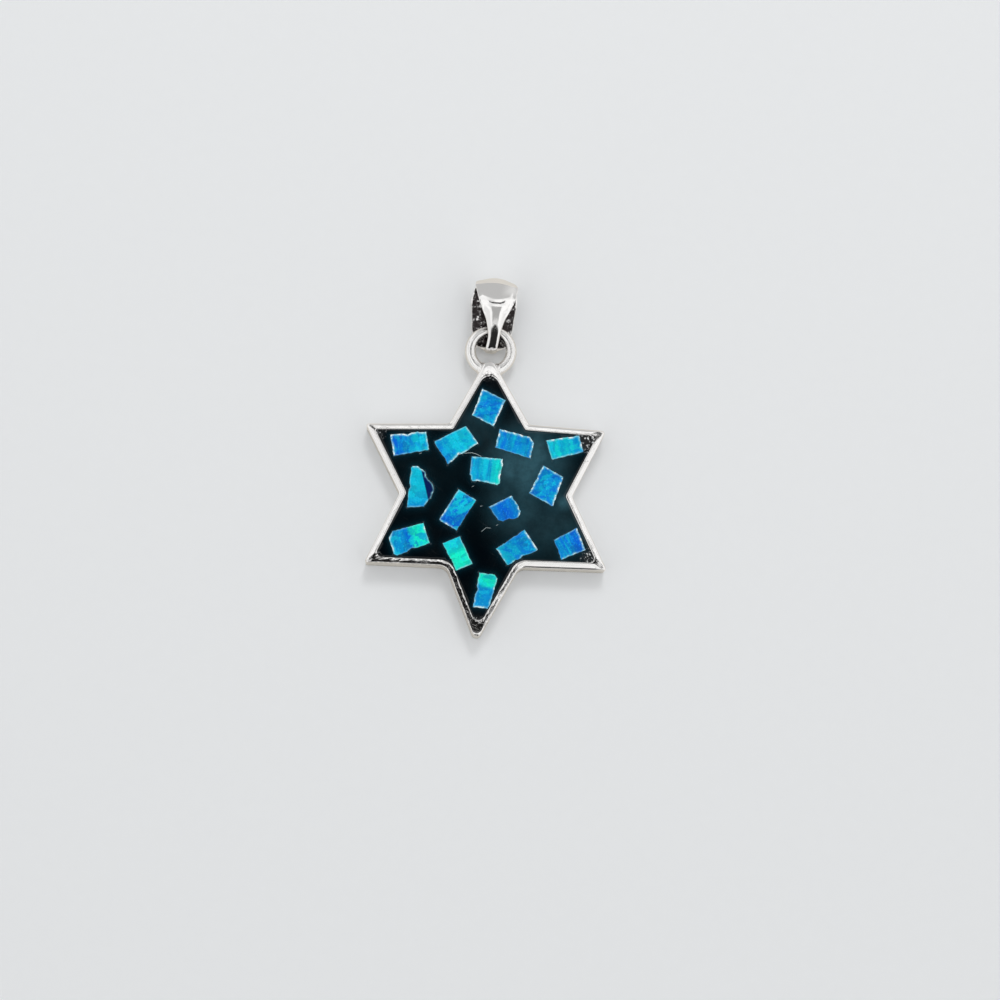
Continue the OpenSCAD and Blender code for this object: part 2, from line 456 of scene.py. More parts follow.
def opal_fire_group():
    """The play of colour in an opal chip: three colours along the chip, flame streaks across it, mottling and
    small flakes that each face another way."""
    group, given, result = new_group(
        "opal_fire",
        {"Vector": ["Centre"], "Color": ["Start", "Middle", "End", "Spot", "Deep"],
         "Float": ["Turn", "Half Length", "Middle Place", "Blend", "Streaks", "Streak Turn", "Streak Scale",
                   "Mottle", "Seed"]},
        {"Color": ["Colour"], "Vector": ["Normal"]})
    own = ((object_place(group) - given["Centre"]) * (1.0, 1.0, 0.0)).rotated(given["Turn"] * -1.0)
    spot = own.scaled(1000.0) + add(group, "ShaderNodeCombineXYZ", {"Z": given["Seed"]})["Vector"]

    along = add(group, "ShaderNodeSeparateXYZ", {"Vector": own})["X"]
    share = along / given["Half Length"] * 0.5 + 0.5 + (spot.noise(1.1, 3.0) * 0.3 - 0.15)
    middle, blend = given["Middle Place"], given["Blend"]
    colour = share.ranged(middle - blend, middle).between(given["Start"], given["Middle"])
    colour = share.ranged(middle, middle + blend).between(colour, given["End"])

    streaked = spot.rotated(given["Streak Turn"] * -1.0)
    streak = (streaked * (1.0, 0.07, 1.0)).noise(given["Streak Scale"], 3.0, 0.65)
    for name, low, high in (("Deep", 0.52, 0.36), ("Spot", 0.53, 0.66)):
        colour = (streak.ranged(low, high) * given["Streaks"]).between(colour, given[name])

    shaken = (spot.noise(3.5, 3.0, 0.6, output="Color") - (0.5, 0.5, 0.5)) * (0.35, 0.7, 0.0)
    inputs = {"Scale": 2.6, "Randomness": 1.0, "Vector": streaked * (1.0, 0.5, 1.0) + shaken}
    flakes = add(group, "ShaderNodeTexVoronoi", inputs, feature="F1")["Color"]
    tone = add(group, "ShaderNodeSeparateColor", {"Color": flakes})
    patch = tone["Green"] * 0.22 + spot.noise(1.5, 2.5, 0.55, 0.5) * 0.78
    for name, low, high in (("Spot", 0.52, 0.62), ("Deep", 0.48, 0.38)):
        colour = (patch.ranged(low, high) * given["Mottle"]).between(colour, given[name])
    glint = spot.noise(6.5, 3.0, 0.6)
    colour = glint.ranged(0.56, 0.68, 0.0, 0.4).between(colour, GLINT)
    colour = glint.ranged(0.44, 0.33, 0.0, 0.4).between(colour, given["Deep"])
    colour = colour.scaled(tone["Red"] * 0.3 + 0.85)

    tilt = (flakes - (0.5, 0.5, 0.5)) * (0.4, 0.4, 0.0)
    normal = add(group, "ShaderNodeNewGeometry")["Normal"] + tilt
    feed(result, {"Colour": colour, "Normal": normal.maths("NORMALIZE", normal)})


def edge_light_group():
    """The painted highlight along a chip's cut edge, broken up along the edge."""
    group, given, result = new_group("edge_light", {"Float": ["Breaks"]}, {"Float": ["Mask"]})
    broken = object_place(group).noise(3200.0, 3.0, 0.7).ranged(0.35, 0.6)
    broken = (broken - 1.0) * given["Breaks"] + 1.0
    feed(result, {"Mask": broken.maths("MULTIPLY", attribute(group, "edge_light"), broken, clamp=True)})


# Materials

# The colours of the opal's glints and painted edge highlights, of the silver's pits and stains and the
# painted shade inside the bail, of the resin's rough ends, their painted glints and its hairlines, and of the
# floor's tooth
GLINT = (0.05, 0.66, 0.82, 1)
EDGE_WHITE = (0.95, 0.98, 1.0, 1)
PIT_DARK = (0.12, 0.11, 0.12, 1)
STAIN_DARK = (0.012, 0.011, 0.012, 1)
INNER_SHADE = (0.035, 0.03, 0.03, 1)
ROUGH_RESIN = (0.006, 0.007, 0.008, 1)
ROUGH_END_GLINT = (0.8, 0.84, 0.85, 1)
HAIRLINE = (0.7, 0.82, 0.85, 1)
FLOOR_TOOTH = (0.6, 0.6, 0.6, 1)


def hand_polish(tree, rough, scale=1.0, wave=1.0, scratch=1.0, pits=1.0):
    """The polishing marks' outputs. The roughness is from the first to the second of its two values."""
    return use_group(tree, "hand_polish", {
        "Scale": scale, "Wave": wave, "Scratch": scratch, "Pits": pits,
        "Low Roughness": rough[0], "High Roughness": rough[1]})


def silver_material(name, tint, rough, stained=False, **shares):
    """Polished silver with its own share of polishing marks, and dark pitted stains where it has them."""
    material, tree, shader = new_material(name, {"Metallic": 1.0})
    marks = hand_polish(tree, rough, **shares)
    colour = marks["Pit Mask"].between((*tint, 1), PIT_DARK)
    height = marks["Height"]
    if stained:
        stain = attribute(tree, "stain")
        grain = object_place(tree).noise(4300.0, 3.0, 0.7, 0.4)
        colour = (grain.ranged(0.42, 0.5) * stain).between(colour, STAIN_DARK)
        height = grain * stain * 0.9 + height
    feed(shader, {"Base Color": colour, "Roughness": marks["Roughness"], "Normal": height.bump(0.008)})
    return material


def inner_shade_material(name, tint):
    """The inside of the bail's bend: silver painted dark as shade, with brighter patches of painted
    reflection.
    """
    material, tree, shader = new_material(name, {"Metallic": 1.0})
    marks = hand_polish(tree, (0.16, 0.4), scale=1.3, wave=1.5)
    painted_reflection = object_place(tree).noise(2600.0, 5.0, 0.75).ranged(0.53, 0.66)
    feed(shader, {
        "Base Color": painted_reflection.between(INNER_SHADE, (*tint, 1)), "Roughness": marks["Roughness"],
        "Normal": marks["Height"].bump(0.03)})
    return material


def resin_material(settings):
    """Dark blue-green resin with a painted glow beside the chips, a painted reflection drawn as milky haze,
    hairlines, and rough ends in the tips with painted glints.
    """
    material, tree, shader = new_material("resin", {
        "IOR": settings.resin_ior, "Metallic": 0.0, "Coat Weight": 0.0, "Specular IOR Level": 0.5})
    marks = use_group(tree, "lapping", {"Low Roughness": 0.07, "High Roughness": 0.16})
    place = object_place(tree)
    # Painted reflection: the resin is lighter and milky where the haze mask is high
    haze_reflection = attribute(tree, "haze_reflection") * place.noise(520.0, 5.0, 0.65).ranged(0.2, 0.8, 0.55, 1.45)
    colour = haze_reflection.between((*settings.resin_dark, 1), (*settings.resin_haze_reflection, 1))
    # Painted glow: the resin beside a chip is lit as if by light leaving the chip's sides
    colour = (attribute(tree, "chip_glow") * 0.55).between(colour, (*settings.resin_glow, 1))
    rough_end = attribute(tree, "rough_end")
    grain = place.noise(4600.0, 3.0, 0.7)
    colour = (rough_end * 0.7).between(colour, ROUGH_RESIN)
    # Painted glints: white specks on the rough ends where the grain peaks
    colour = (grain.ranged(0.57, 0.63) * rough_end).between(colour, ROUGH_END_GLINT)
    colour = attribute(tree, "fleck").between(colour, HAIRLINE)
    roughness = rough_end.maths("MULTIPLY_ADD", rough_end, 0.35, marks["Roughness"], clamp=True)
    height = marks["Height"] * 0.4 + grain * rough_end * 8.0
    feed(shader, {"Base Color": colour, "Roughness": roughness, "Normal": height.bump(0.003)})
    return material


def opal_material(node, outline, settings, seed):
    """One chip's own play of colour under the polish."""
    turn, along, spots, dark, (place, blend, streaks, streak_turn, mottle) = CHIPS[node][:5]
    # The emission is a painted glow: a share of the chip's colour shown as light of its own
    material, tree, shader = new_material(node + "_fire", {
        "Metallic": 0.0, "IOR": 1.45, "Coat Weight": 0.5, "Coat Roughness": 0.05, "Coat IOR": 1.4,
        "Specular IOR Level": 0.08, "Emission Strength": settings.opal_glow})
    start, middle, end, spot, deep = ((*getattr(settings, key), 1) for key in [*along.split(), spots, dark])
    centre, angle = outline.mean(axis=0), math.radians(turn)
    half_length = float(np.abs((outline - centre) @ facing(angle)).max())
    body = use_group(tree, "opal_fire", {
        "Centre": (*centre, 0), "Turn": angle, "Half Length": half_length,
        "Start": start, "Middle": middle, "End": end, "Spot": spot, "Deep": deep,
        "Middle Place": place, "Blend": blend, "Streaks": streaks, "Streak Turn": math.radians(streak_turn),
        "Streak Scale": STREAK_SCALES.get(node, USUAL_STREAK_SCALE), "Mottle": mottle, "Seed": 10.0 * seed})
    marks = use_group(tree, "lapping", {"Low Roughness": 0.22, "High Roughness": 0.38})
    edge = use_group(tree, "edge_light", {"Breaks": 0.55})["Mask"]
    colour = attribute(tree, "chip_side").between(body["Colour"], (*settings.chip_side, 1))
    # Painted highlight along the chip's cut edge, whitest where it is strongest
    colour = edge.between(colour, (*settings.pale_edge, 1))
    colour = edge.ranged(0.55, 1.0, 0.0, 0.85).between(colour, EDGE_WHITE)
    feed(shader, {
        "Base Color": colour, "Emission Color": colour, "Roughness": marks["Roughness"],
        "Normal": body["Normal"]})
    return material


def floor_material(settings):
    """A plain pale matt floor with a very faint tooth."""
    material, tree, shader = new_material("floor", {"Roughness": 0.75, "Specular IOR Level": 0.2})
    tooth = object_place(tree).noise(900.0, 3.0) * 0.05
    colour = tooth.between((*settings.floor_colour, 1), FLOOR_TOOTH)
    mirrored = add(tree, "ShaderNodeLightPath")["Is Glossy Ray"]
    feed(shader, {"Base Color": mirrored.between(colour, (*settings.floor_mirrored, 1))})
    return material


# Settings that a user would change

def colour_setting(name, description, default):
    return bpy.props.FloatVectorProperty(
        name=name, description=description, subtype="COLOR", size=3, min=0, max=1, default=default)


def length_setting(name, description, low, high, default):
    """Its lowest, highest and first values are given in mm."""
    return bpy.props.FloatProperty(
        name=name, description=description, unit="LENGTH", min=low * MM, max=high * MM, default=default * MM)


def angle_setting(name, description, default):
    """Its first value is given in degrees."""
    return bpy.props.FloatProperty(
        name=name, description=description, subtype="ANGLE", default=math.radians(default))


def number_setting(name, description, low, high, default, unit="NONE"):
    return bpy.props.FloatProperty(
        name=name, description=description, unit=unit, min=low, max=high, default=default)


class PendantSilverSettings(bpy.types.PropertyGroup):
    silver_tint: colour_setting("Silver", "Colour of the polished silver", (0.95, 0.942, 0.935))
    shoulder: length_setting("Shoulder", "Width of the rounding on the star's outer edge", 0.05, 0.3, 0.2)
    shoulder_drop: length_setting(
        "Shoulder drop", "Height of the rounding on the star's outer edge", 0.05, 0.5, 0.2)
    back_edge: length_setting("Back edge", "Radius on the edge of the flat back", 0.02, 0.3, 0.1)
    inner_edge: length_setting("Inner edge", "Radius on the edge next to the inlay", 0.01, 0.1, 0.04)
    waviness: length_setting(
        "Waviness", "Height of the unevenness that hand filing left along the rim", 0, 0.05, 0.005)


class PendantInlaySettings(bpy.types.PropertyGroup):
    navy: colour_setting("Navy", "Darkest blue of the opal", (0.001, 0.035, 0.28))
    deep: colour_setting("Deep blue", "Deep blue of the opal", (0.001, 0.125, 0.66))
    azure: colour_setting("Azure", "Middle blue of the opal", (0.002, 0.255, 0.62))
    cyan: colour_setting("Cyan", "Light blue of the opal", (0.004, 0.52, 0.7))
    green: colour_setting("Green", "Sea green of the opal", (0.006, 0.82, 0.55))
    chip_side: colour_setting(
        "Chip side", "Colour of a chip's sloping side where it shows through the resin", (0.001, 0.012, 0.09))
    pale_edge: colour_setting(
        "Pale edge", "Colour of the light that a chip's cut edge catches", (0.3, 0.7, 0.78))
    # Strength of the opal's painted glow
    opal_glow: number_setting(
        "Opal glow", "Share of the opal's colour that seems to come from inside", 0, 1, 0.1)
    resin_dark: colour_setting("Resin", "Colour of the resin where it is darkest", (0.0004, 0.002, 0.0035))
    # Colour of the painted reflection, drawn as milky haze in the resin
    resin_haze_reflection: colour_setting("Resin cloud", "Colour of the resin where it is cloudy", (0.034, 0.1, 0.13))
    # Colour of the painted glow in the resin beside a chip
    resin_glow: colour_setting("Resin glow", "Colour of the resin beside a chip", (0.002, 0.035, 0.055))
    resin_ior: number_setting(
        "Resin gloss", "Index of refraction of the resin's polished skin", 1.1, 1.8, 1.4)
    chip_ragging: length_setting(
        "Chip ragging", "Depth of the small nicks along a chip's broken edge", 0, 0.2, 0.06)
    edge_width: length_setting("Edge width", "Width of the pale line along a chip's edge", 0.02, 0.3, 0.16)
    glow_reach: length_setting("Glow reach", "How far a chip's glow reaches into the resin", 0.05, 1, 0.22)


class PendantBailSettings(bpy.types.PropertyGroup):
    width: length_setting("Width", "Full width of the bail across its wide end", 2, 6, 3.9)
    tongue: length_setting(
        "Tongue", "Width of the bail's tongue where it passes through the ring", 0.6, 2, 1.05)
    crown: length_setting("Crown", "How far the sheet's face is domed across its width", 0, 0.4, 0.26)
    edge: length_setting("Edge", "Radius on the sheet's edges", 0.02, 0.3, 0.12)
    front_shift: length_setting(
        "Front shift", "How far the front has been pressed to the right of the back", 0, 0.5, 0.15)
    corner_cut: number_setting(
        "Corner cut", "Share of the width that rounds off the front's right upper corner", 0, 0.5, 0.24)
    crest_shift: length_setting(
        "Crest shift", "How far the front's highest line lies below the middle of the head's bend",
        0, 1.5, 0.7)


class PendantStageSettings(bpy.types.PropertyGroup):
    distance: length_setting("Distance", "From the camera to what it looks at", 50, 1000, 160)
    tilt: angle_setting("Tilt", "How far the camera leans to the foot of the star", 10)
    side: angle_setting("Side", "How far the camera leans to the left", 2.5)
    lean: angle_setting("Lean", "How far the pendant leans to the right in the picture", 2.1)
    target: bpy.props.FloatVectorProperty(
        name="Target", description="The place on the floor in the middle of the picture",
        unit="LENGTH", size=3, default=(0.0013871, 0.0001406, 0))
    lens: number_setting("Lens", "Focal length in millimetres", 20, 200, 64)
    floor_colour: colour_setting("Floor", "Colour of the pale floor", (0.87, 0.888, 0.905))
    floor_mirrored: colour_setting(
        "Mirrored floor", "Warmer colour of the floor where the silver mirrors it", (0.78, 0.75, 0.695))
    floor_size: length_setting("Floor size", "Width of the square floor", 500, 10000, 4000)
    tent_light: number_setting(
        "Tent light", "Brightness of the white light tent round the pendant", 0, 5, 1.04)
    key_power: number_setting(
        "Key power", "Power of the soft lamp behind the bail", 0, 10, 0.45, unit="POWER")


# Silver star tray

# What filing left on a steep, clean side: [share of the shoulder's width, how uneven its inner edge is, how
# stained it is, width in mm and inward slope in degrees of the bevel along its inner edge]
CLEAN_SIDE = (1, 0.1, 0, 0.02, 20)
# What filing left on each side, anticlockwise from the right upper point, so the top right side comes first:
# [slope towards the outside in degrees, how far its middle stands up in hundredths of a mm, and those five]
RIM_SIDES = [
    (3.9, 0.1, *CLEAN_SIDE), (8, 0.15, *CLEAN_SIDE), (8, 0.15, *CLEAN_SIDE), (3.9, 0.1, *CLEAN_SIDE),
    (10, 0.2, *CLEAN_SIDE), (10.5, 0.2, *CLEAN_SIDE), (0.5, 0.1, 0.4, 0.6, 0.35, 0.17, 5.5),
    (0.3, 0.05, 0.3, 0.8, 0.28, 0.06, 13), (3.8, 0.3, 0.7, 1, 0.1, 0.1, 13), (9, 0.2, 0.8, 0.2, 0, 0.02, 20),
    (10.5, 0.2, *CLEAN_SIDE), (9.5, 0.2, *CLEAN_SIDE),
]
# Dark stains on the rim round the well's tips: [bearing of the tip in degrees, reach in mm, strength]
RIM_STAINS = [(90, 0.5, 1.0), (30, 0.42, 1.0), (270, 1.2, 0.3), (330, 0.35, 0.4)]
# How round the well's notches are in mm, in the same order from the right top one
WELL_NOTCHES = [0.35, 0.35, 0.4, 1.5, 1.4, 0.4]
# How round some of the well's tips are in mm, by their place in the same order
WELL_TIPS = {0: 0.5, 8: 0.6, 10: 0.42}
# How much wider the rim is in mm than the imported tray's, by the place of its side
WIDER_SIDES = {9: 0.1}
# How much of the shoulder's width the file took off near the outer tips, and within how many mm
TIP_FILING = (0.6, 0.7)
# The outer tip whose face lies flat: its bearing in degrees, and within how many mm
FLAT_TIP = (270, 1.5)
# 1 rounds the shoulder as a quarter ellipse, and 2 cuts it straight
SHOULDER_POWER = 1.5
# How far below the resin's top the ring of points is where the well's wall turns straight down, in mm
WALL_LAP = 0.1
# The steps round the tray's back edge and its inner edge, and across the shoulder, the face and the bevel
EDGE_STEPS = 4
SHOULDER_STEPS = 8
FACE_STEPS = 8
BEVEL_STEPS = 3
# The rows of points up the outer wall, as shares of its height
WALL_ROWS = (0.35, 0.75)
# How long the coarse and the fine waves of the rim are in mm, and the share of the height that the fine have
COARSE_WAVE = 0.9
FINE_WAVE = 0.33
FINE_SHARE = 0.35
# How long the coarse and the fine bites in the inner edge are, and how long and high its lumps, in mm
COARSE_BITE = 0.5
FINE_BITE = 0.22
LUMP_LENGTH = 0.25
LUMP_HEIGHT = 0.012


def star_sizes():
    """The star's corners, the radii of its outer and inner corners, and its walls' widths, read from the
    packed tray and made uneven one by one. The corners run anticlockwise from the right upper point."""
    outer, well = top_outlines("star_setting")[:2]
    corners, outer_radii = corners_and_radii(outer)
    first = furthest(corners, 30)
    corners, outer_radii = np.roll(corners, -first, axis=0), np.roll(outer_radii, -first)
    well_corners, well_radii = corners_and_radii(well[::-1])
    order = [int(np.linalg.norm(well_corners - c, axis=1).argmin()) for c in corners]
    side = unit(corners[1] - corners[0])
    walls = np.full(len(corners), abs(float((well_corners[order[0]] - corners[0]) @ left_of(side))))
    well_radii = well_radii[order]
    well_radii[1::2] = np.array(WELL_NOTCHES) * MM
    for place, radius in WELL_TIPS.items():
        well_radii[place] = radius * MM
    for place, wider in WIDER_SIDES.items():
        walls[place] += wider * MM
    return corners, outer_radii, well_radii, walls


def quarter_turn(steps, first=0):
    """The sine and cosine at each step of a quarter turn."""
    angles = [math.radians(90 * k / steps) for k in range(first, steps + 1)]
    return [(math.sin(a), math.cos(a)) for a in angles]


def build_star_tray(silver, material, back_material):
    """The tray, in rings of points that run up its outer wall, across the rim and down into the well."""
    corners, outer_radii, well_radii, walls = star_sizes()
    wall = walls.min()
    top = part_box("star_setting")[1][2]
    resin_low, resin_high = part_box("resin")
    outside = rounded_outline(corners, outer_radii)
    well = rounded_outline(inset(corners, walls), well_radii)
    slope, crown, shoulder_share, unevenness, stain, bevel_width, bevel_slope = (
        blended_along(column) for column in zip(*RIM_SIDES))

    def nearness(point, reach):
        return np.exp(-(np.linalg.norm(outside - point, axis=1) / (reach * MM)) ** 2)

    slopes = np.tan(np.radians(slope)) * (1 - nearness(corners[furthest(corners, FLAT_TIP[0])], FLAT_TIP[1]))
    crowns = crown * 0.01 * MM
    near_tip = np.max([nearness(tip, TIP_FILING[1]) for tip in corners[::2]], axis=0)
    shoulder = shoulder_share * silver.shoulder * (1 - TIP_FILING[0] * near_tip)
    bites = noise_at(well, COARSE_BITE * MM, 31.0) + 0.8 * noise_at(well, FINE_BITE * MM, 37.0)
    inner_edge = silver.inner_edge * np.clip(1 + 2 * unevenness * bites, 0.4, 2.2)
    bevel = bevel_width * MM * np.clip(1 + 1.3 * unevenness * bites, 0.3, 1.7)
    face_width = wall - shoulder - bevel - inner_edge
    lumps = LUMP_HEIGHT * MM * np.clip(2 * unevenness - 1, 0, 1) * noise_at(well, LUMP_LENGTH * MM, 41.0)
    rings = []

    def ring(distance, z, uneven=0.0, seed=0.0):
        """A ring at a distance from the outside, measured where the wall is thinnest, and at a height."""
        plan = outside + (well - outside) * np.broadcast_to(distance / wall, len(well))[:, None]
        wobble = noise_at(plan, COARSE_WAVE * MM, seed) * uneven
        wobble += noise_at(plan, FINE_WAVE * MM, seed + 9) * FINE_SHARE * uneven
        rings.append(np.column_stack([plan, np.broadcast_to(z, len(plan)) + wobble]))

    def face_height(share):
        """The height across the face, from its outer side at 0 to its inner side at 1."""
        fall = slopes * face_width * (1 - share)
        dome = crowns * (1 - (2 * share - 1) ** 2)
        return top - silver.waviness * 1.4 - crowns - fall + dome

    for sin, cos in quarter_turn(EDGE_STEPS):
        ring(silver.back_edge * (1 - sin), silver.back_edge * (1 - cos))
    wall_top = top - silver.shoulder_drop
    for share in WALL_ROWS:
        ring(0, silver.back_edge + share * (wall_top - silver.back_edge), silver.waviness, 3)
    outer_face = face_height(0)
    for sin, cos in quarter_turn(SHOULDER_STEPS):
        z = wall_top + (outer_face - wall_top) * sin ** SHOULDER_POWER
        ring(shoulder * (1 - cos ** SHOULDER_POWER), z, silver.waviness, 5)
    for k in range(1, FACE_STEPS + 1):
        share = k / FACE_STEPS
        ring(shoulder + share * face_width, face_height(share), silver.waviness, 5 + share)
    for k in range(1, BEVEL_STEPS + 1):
        inner_face = face_height(1) - np.tan(np.radians(bevel_slope)) * bevel * k / BEVEL_STEPS
        ring(wall - inner_edge - bevel * (1 - k / BEVEL_STEPS), inner_face, silver.waviness, 6)
    for sin, cos in quarter_turn(EDGE_STEPS, 1):
        ring(wall - inner_edge * (1 - sin), inner_face - inner_edge * (1 - cos), silver.waviness, 6)
        rings[-1][:, 2] += lumps * sin
    ring(wall, resin_high[2] - WALL_LAP * MM)
    ring(wall, resin_low[2])
    size, points = len(outside), np.concatenate(rings)
    faces = ring_faces(len(rings), size)
    faces.append(range(size - 1, -1, -1))
    faces.append(range(len(points) - size, len(points)))
    tray = new_piece("star_tray", points, faces, material, replaces=["star_setting"])
    tray.data.materials.append(back_material)
    for face in tray.data.polygons:
        if len(face.vertices) > 4:
            face.use_smooth = False
            face.material_index = 1
    tip_stains = tip_patches(points, well, RIM_STAINS, wander=0.15, lump=0.35, fade=0.3)
    stains = np.maximum(np.tile(stain, len(rings)), tip_stains)
    stains[points[:, 2] < wall_top] = 0
    point_values(tray, "stain", stains)


# Jump ring

# How deep the drawn wire's dents and flats are, as shares of its radius
WIRE_DENTS = 0.012
WIRE_FLATS = 0.008
# The radii of the solder's lumps across and up, as shares of the wire's
SOLDER_RADII = np.array([1.24, 1.24, 1.16])
# How far the solder sits inside the tip's side in mm, and how uneven it is as a share of its radius
SOLDER_SINK = 0.05
SOLDER_LUMPS = 0.06
# How far above the star the jump ring's own points begin, in mm
RING_START = 0.3


def ring_sizes():
    """The jump ring's centre, middle radius and wire radius, from the tray's points above the star."""
    points = node_points("star_setting")
    ring = points[points[:, 1] > top_outlines("star_setting")[0][:, 1].max() + RING_START * MM]
    wire = (ring[:, 2].max() - ring[:, 2].min()) / 2
    outer = (ring[:, 0].max() - ring[:, 0].min()) / 2
    centre = Vector((ring[:, 0].max() - outer, ring[:, 1].max() - outer, ring[:, 2].max() - wire))
    return centre, outer - wire, wire


def build_jump_ring(material):
    """The wire ring with a drawn wire's faint dents and flats."""
    centre, middle, wire = ring_sizes()
    turns, sides = 128, 32
    points = []
    for i in range(turns):
        across, up = facing(2 * math.pi * i / turns)
        dent = 1 - WIRE_DENTS * (1 + noise.noise(Vector((3 * across, 3 * up, 2.0))))
        for k in range(sides):
            a = 2 * math.pi * k / sides
            flat = 1 - WIRE_FLATS * math.cos(5 * a)
            reach = middle + wire * dent * flat * math.cos(a)
            height = wire * flat * math.sin(a)
            points.append(np.array(centre) + np.array([across * reach, up * reach, height]))
    faces = ring_faces(turns, sides, closed=True)
    new_piece("jump_ring", points, faces, material, replaces=["star_setting"])


def build_solder(material):
    """A small lump of solder on each side of the tip, round the wire."""
    centre, middle, wire = ring_sizes()
    corners = star_sizes()[0]
    top = int(corners[:, 1].argmax())
    tip = corners[top]
    points, faces = [], []
    rings, sides = 14, 28
    for side in (-1, 1):
        along = unit(corners[(top - side) % len(corners)] - tip)
        gap = tip - np.array(centre)[:2]
        b, c = along @ gap, gap @ gap - middle ** 2
        place = tip + along * (-b + math.sqrt(max(b * b - c, 0)))
        outwards = left_of(along) * (1 if left_of(along)[0] * side > 0 else -1)
        lump_centre = np.array([*(place - SOLDER_SINK * MM * outwards), centre.z])
        faces += ring_faces(rings + 1, sides, len(points))
        for i in range(rings + 1):
            rise = math.pi * i / rings
            for k in range(sides):
                a = 2 * math.pi * k / sides
                ball = np.array([math.sin(rise) * math.cos(a), math.sin(rise) * math.sin(a), math.cos(rise)])
                lump = 1 + SOLDER_LUMPS * noise.noise(Vector(ball * 2 + Vector((side * 4, 0, 0))))
                points.append(lump_centre + lump * SOLDER_RADII * wire * ball)
    new_piece("solder", points, faces, material, replaces=["star_setting"])


# Bail

# The front seen from above, from the foot to the top:
# [share of the length, share of the flare from tongue to full width, share of the front shift]
BAIL_FRONT = [
    (0, 0, 0), (0.17, 0, 1), (0.29, 0.12, 1), (0.38, 0.26, 1), (0.46, 0.46, 1), (0.61, 0.73, 1),
    (0.76, 0.9, 0.7), (0.88, 0.97, 0.3), (0.95, 0.86, 0), (1, 0.5, 0),
]
# The back, with the same columns
BAIL_BACK = [
    (0, 0, 0), (0.03, 0, 0), (0.08, 0.38, 0), (0.17, 0.66, 0), (0.31, 0.9, 0), (0.5, 1, 0),
    (0.88, 1, 0), (0.95, 0.86, 0), (1, 0.5, 0),
]
# The slope of the front: [share of the way from its highest line down to the foot's bend, slope in degrees]
FRONT_SLOPES = [(0, 0), (0.1, 20), (0.23, 28), (0.55, 31), (1, 37)]
# The share of the length where the front's upper corners begin, and the left one's share of the cut
CORNER_START = 0.84
LEFT_CUT = 0.3
# The rounded edge of the sheet's section: [depth from 0 outside to 1 inside, share of the rounding]
SHEET_EDGE = [
    (0.0, 1.0), (0.06, 0.8), (0.16, 0.5), (0.3, 0.15), (0.5, 0.0), (0.7, 0.15), (0.84, 0.5), (0.94, 0.8),
    (1.0, 1.0),
]
# The half width in mm from which the sheet is fully domed, and how fast the dome falls where it is narrower
FULL_CROWN = 1.15
CROWN_POWER = 1.7
# The steps round the foot's bend, up the front, over its top, round the head, down the back and across
FOOT_STEPS = 28
FRONT_STEPS = 60
TOP_STEPS = 30
HEAD_STEPS = 28
BACK_STEPS = 36
ACROSS_STEPS = 12


def smooth_row(rows, share):
    """The row of a table at a share of its first column, on a smooth curve through its rows."""
    at = np.array([r[0] for r in rows])
    k = int(np.clip(np.searchsorted(at, share) - 1, 0, len(rows) - 2))
    step = at[k + 1] - at[k]
    t = (share - at[k]) / step
    values = []
    for column in (1, 2):
        y = [r[column] for r in rows]
        slope = np.gradient(y, at)
        h = (2 * t ** 3 - 3 * t ** 2 + 1, t ** 3 - 2 * t ** 2 + t, -2 * t ** 3 + 3 * t ** 2, t ** 3 - t ** 2)
        values.append(h[0] * y[k] + h[1] * step * slope[k] + h[2] * y[k + 1] + h[3] * step * slope[k + 1])
    return values


def bail_frame():
    """The bail's lean, its head and foot bends as [middle from the ring's centre, outer radius], and its
    sheet's thickness, read from the chain channel's mount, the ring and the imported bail."""
    channel = MOUNTS["chain_channel"]
    centre = ring_sizes()[0]
    axis = Vector(channel["axis"])
    lean = math.atan2(axis.y, axis.x)
    head = Matrix.Rotation(-lean, 2) @ (Vector(channel["pos_m"][:2]) - centre.xy)
    head_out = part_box("bail")[1][2] / 2
    own = turned(node_points("bail")[:, :2] - np.array(centre)[:2], -lean)
    foot_y = own[:, 1].min() + centre.z
    return centre, lean, (head.y, head_out), (foot_y, centre.z), head_out - channel["dims"]["r_mm"] * MM


def bail_path(bail, head_bend, foot_bend):
    """The sheet's outer side seen from its right, from the foot's bend up the front, round the head and down
    the back: [place, angle that it faces]."""
    head, foot = np.array(head_bend), np.array(foot_bend)
    (head_y, head_out), foot_out = head_bend, foot_bend[1]
    foot_end = math.pi / 2 + math.radians(FRONT_SLOPES[-1][1])
    crest = head_y - bail.crest_shift
    path = []
    for k in range(FOOT_STEPS):
        a = -math.pi / 2 - (1.5 * math.pi - foot_end) * k / FOOT_STEPS
        path.append((foot + foot_out * facing(a), a))
    start = foot + foot_out * facing(foot_end)
    shares = np.linspace(0, 1, FRONT_STEPS + 1)
    slopes = np.radians(np.interp(shares, *zip(*FRONT_SLOPES)))
    down = np.tan((slopes[1:] + slopes[:-1]) / 2) * (crest - start[0]) / FRONT_STEPS
    heights = 2 * head_out - np.concatenate([[0], np.cumsum(down)])
    heights += (start[1] - heights[-1]) * shares ** 2
    for k in range(FRONT_STEPS, 0, -1):
        path.append((np.array([crest + (start[0] - crest) * shares[k], heights[k]]), math.pi / 2 + slopes[k]))
    reach = np.array([head_y + head_out - crest, head_out])
    for k in range(TOP_STEPS):
        a = math.pi / 2 * (1 - k / TOP_STEPS)
        place = np.array([crest, head_out]) + reach * facing(a)
        path.append((place, math.atan2(math.sin(a) / reach[1], math.cos(a) / reach[0])))
    for k in range(HEAD_STEPS):
        a = -math.pi / 2 * k / HEAD_STEPS
        path.append((head + head_out * facing(a), a))
    for k in range(BACK_STEPS):
        path.append((np.array([head_y + (foot[0] - head_y) * k / BACK_STEPS, 0.0]), -math.pi / 2))
    return path


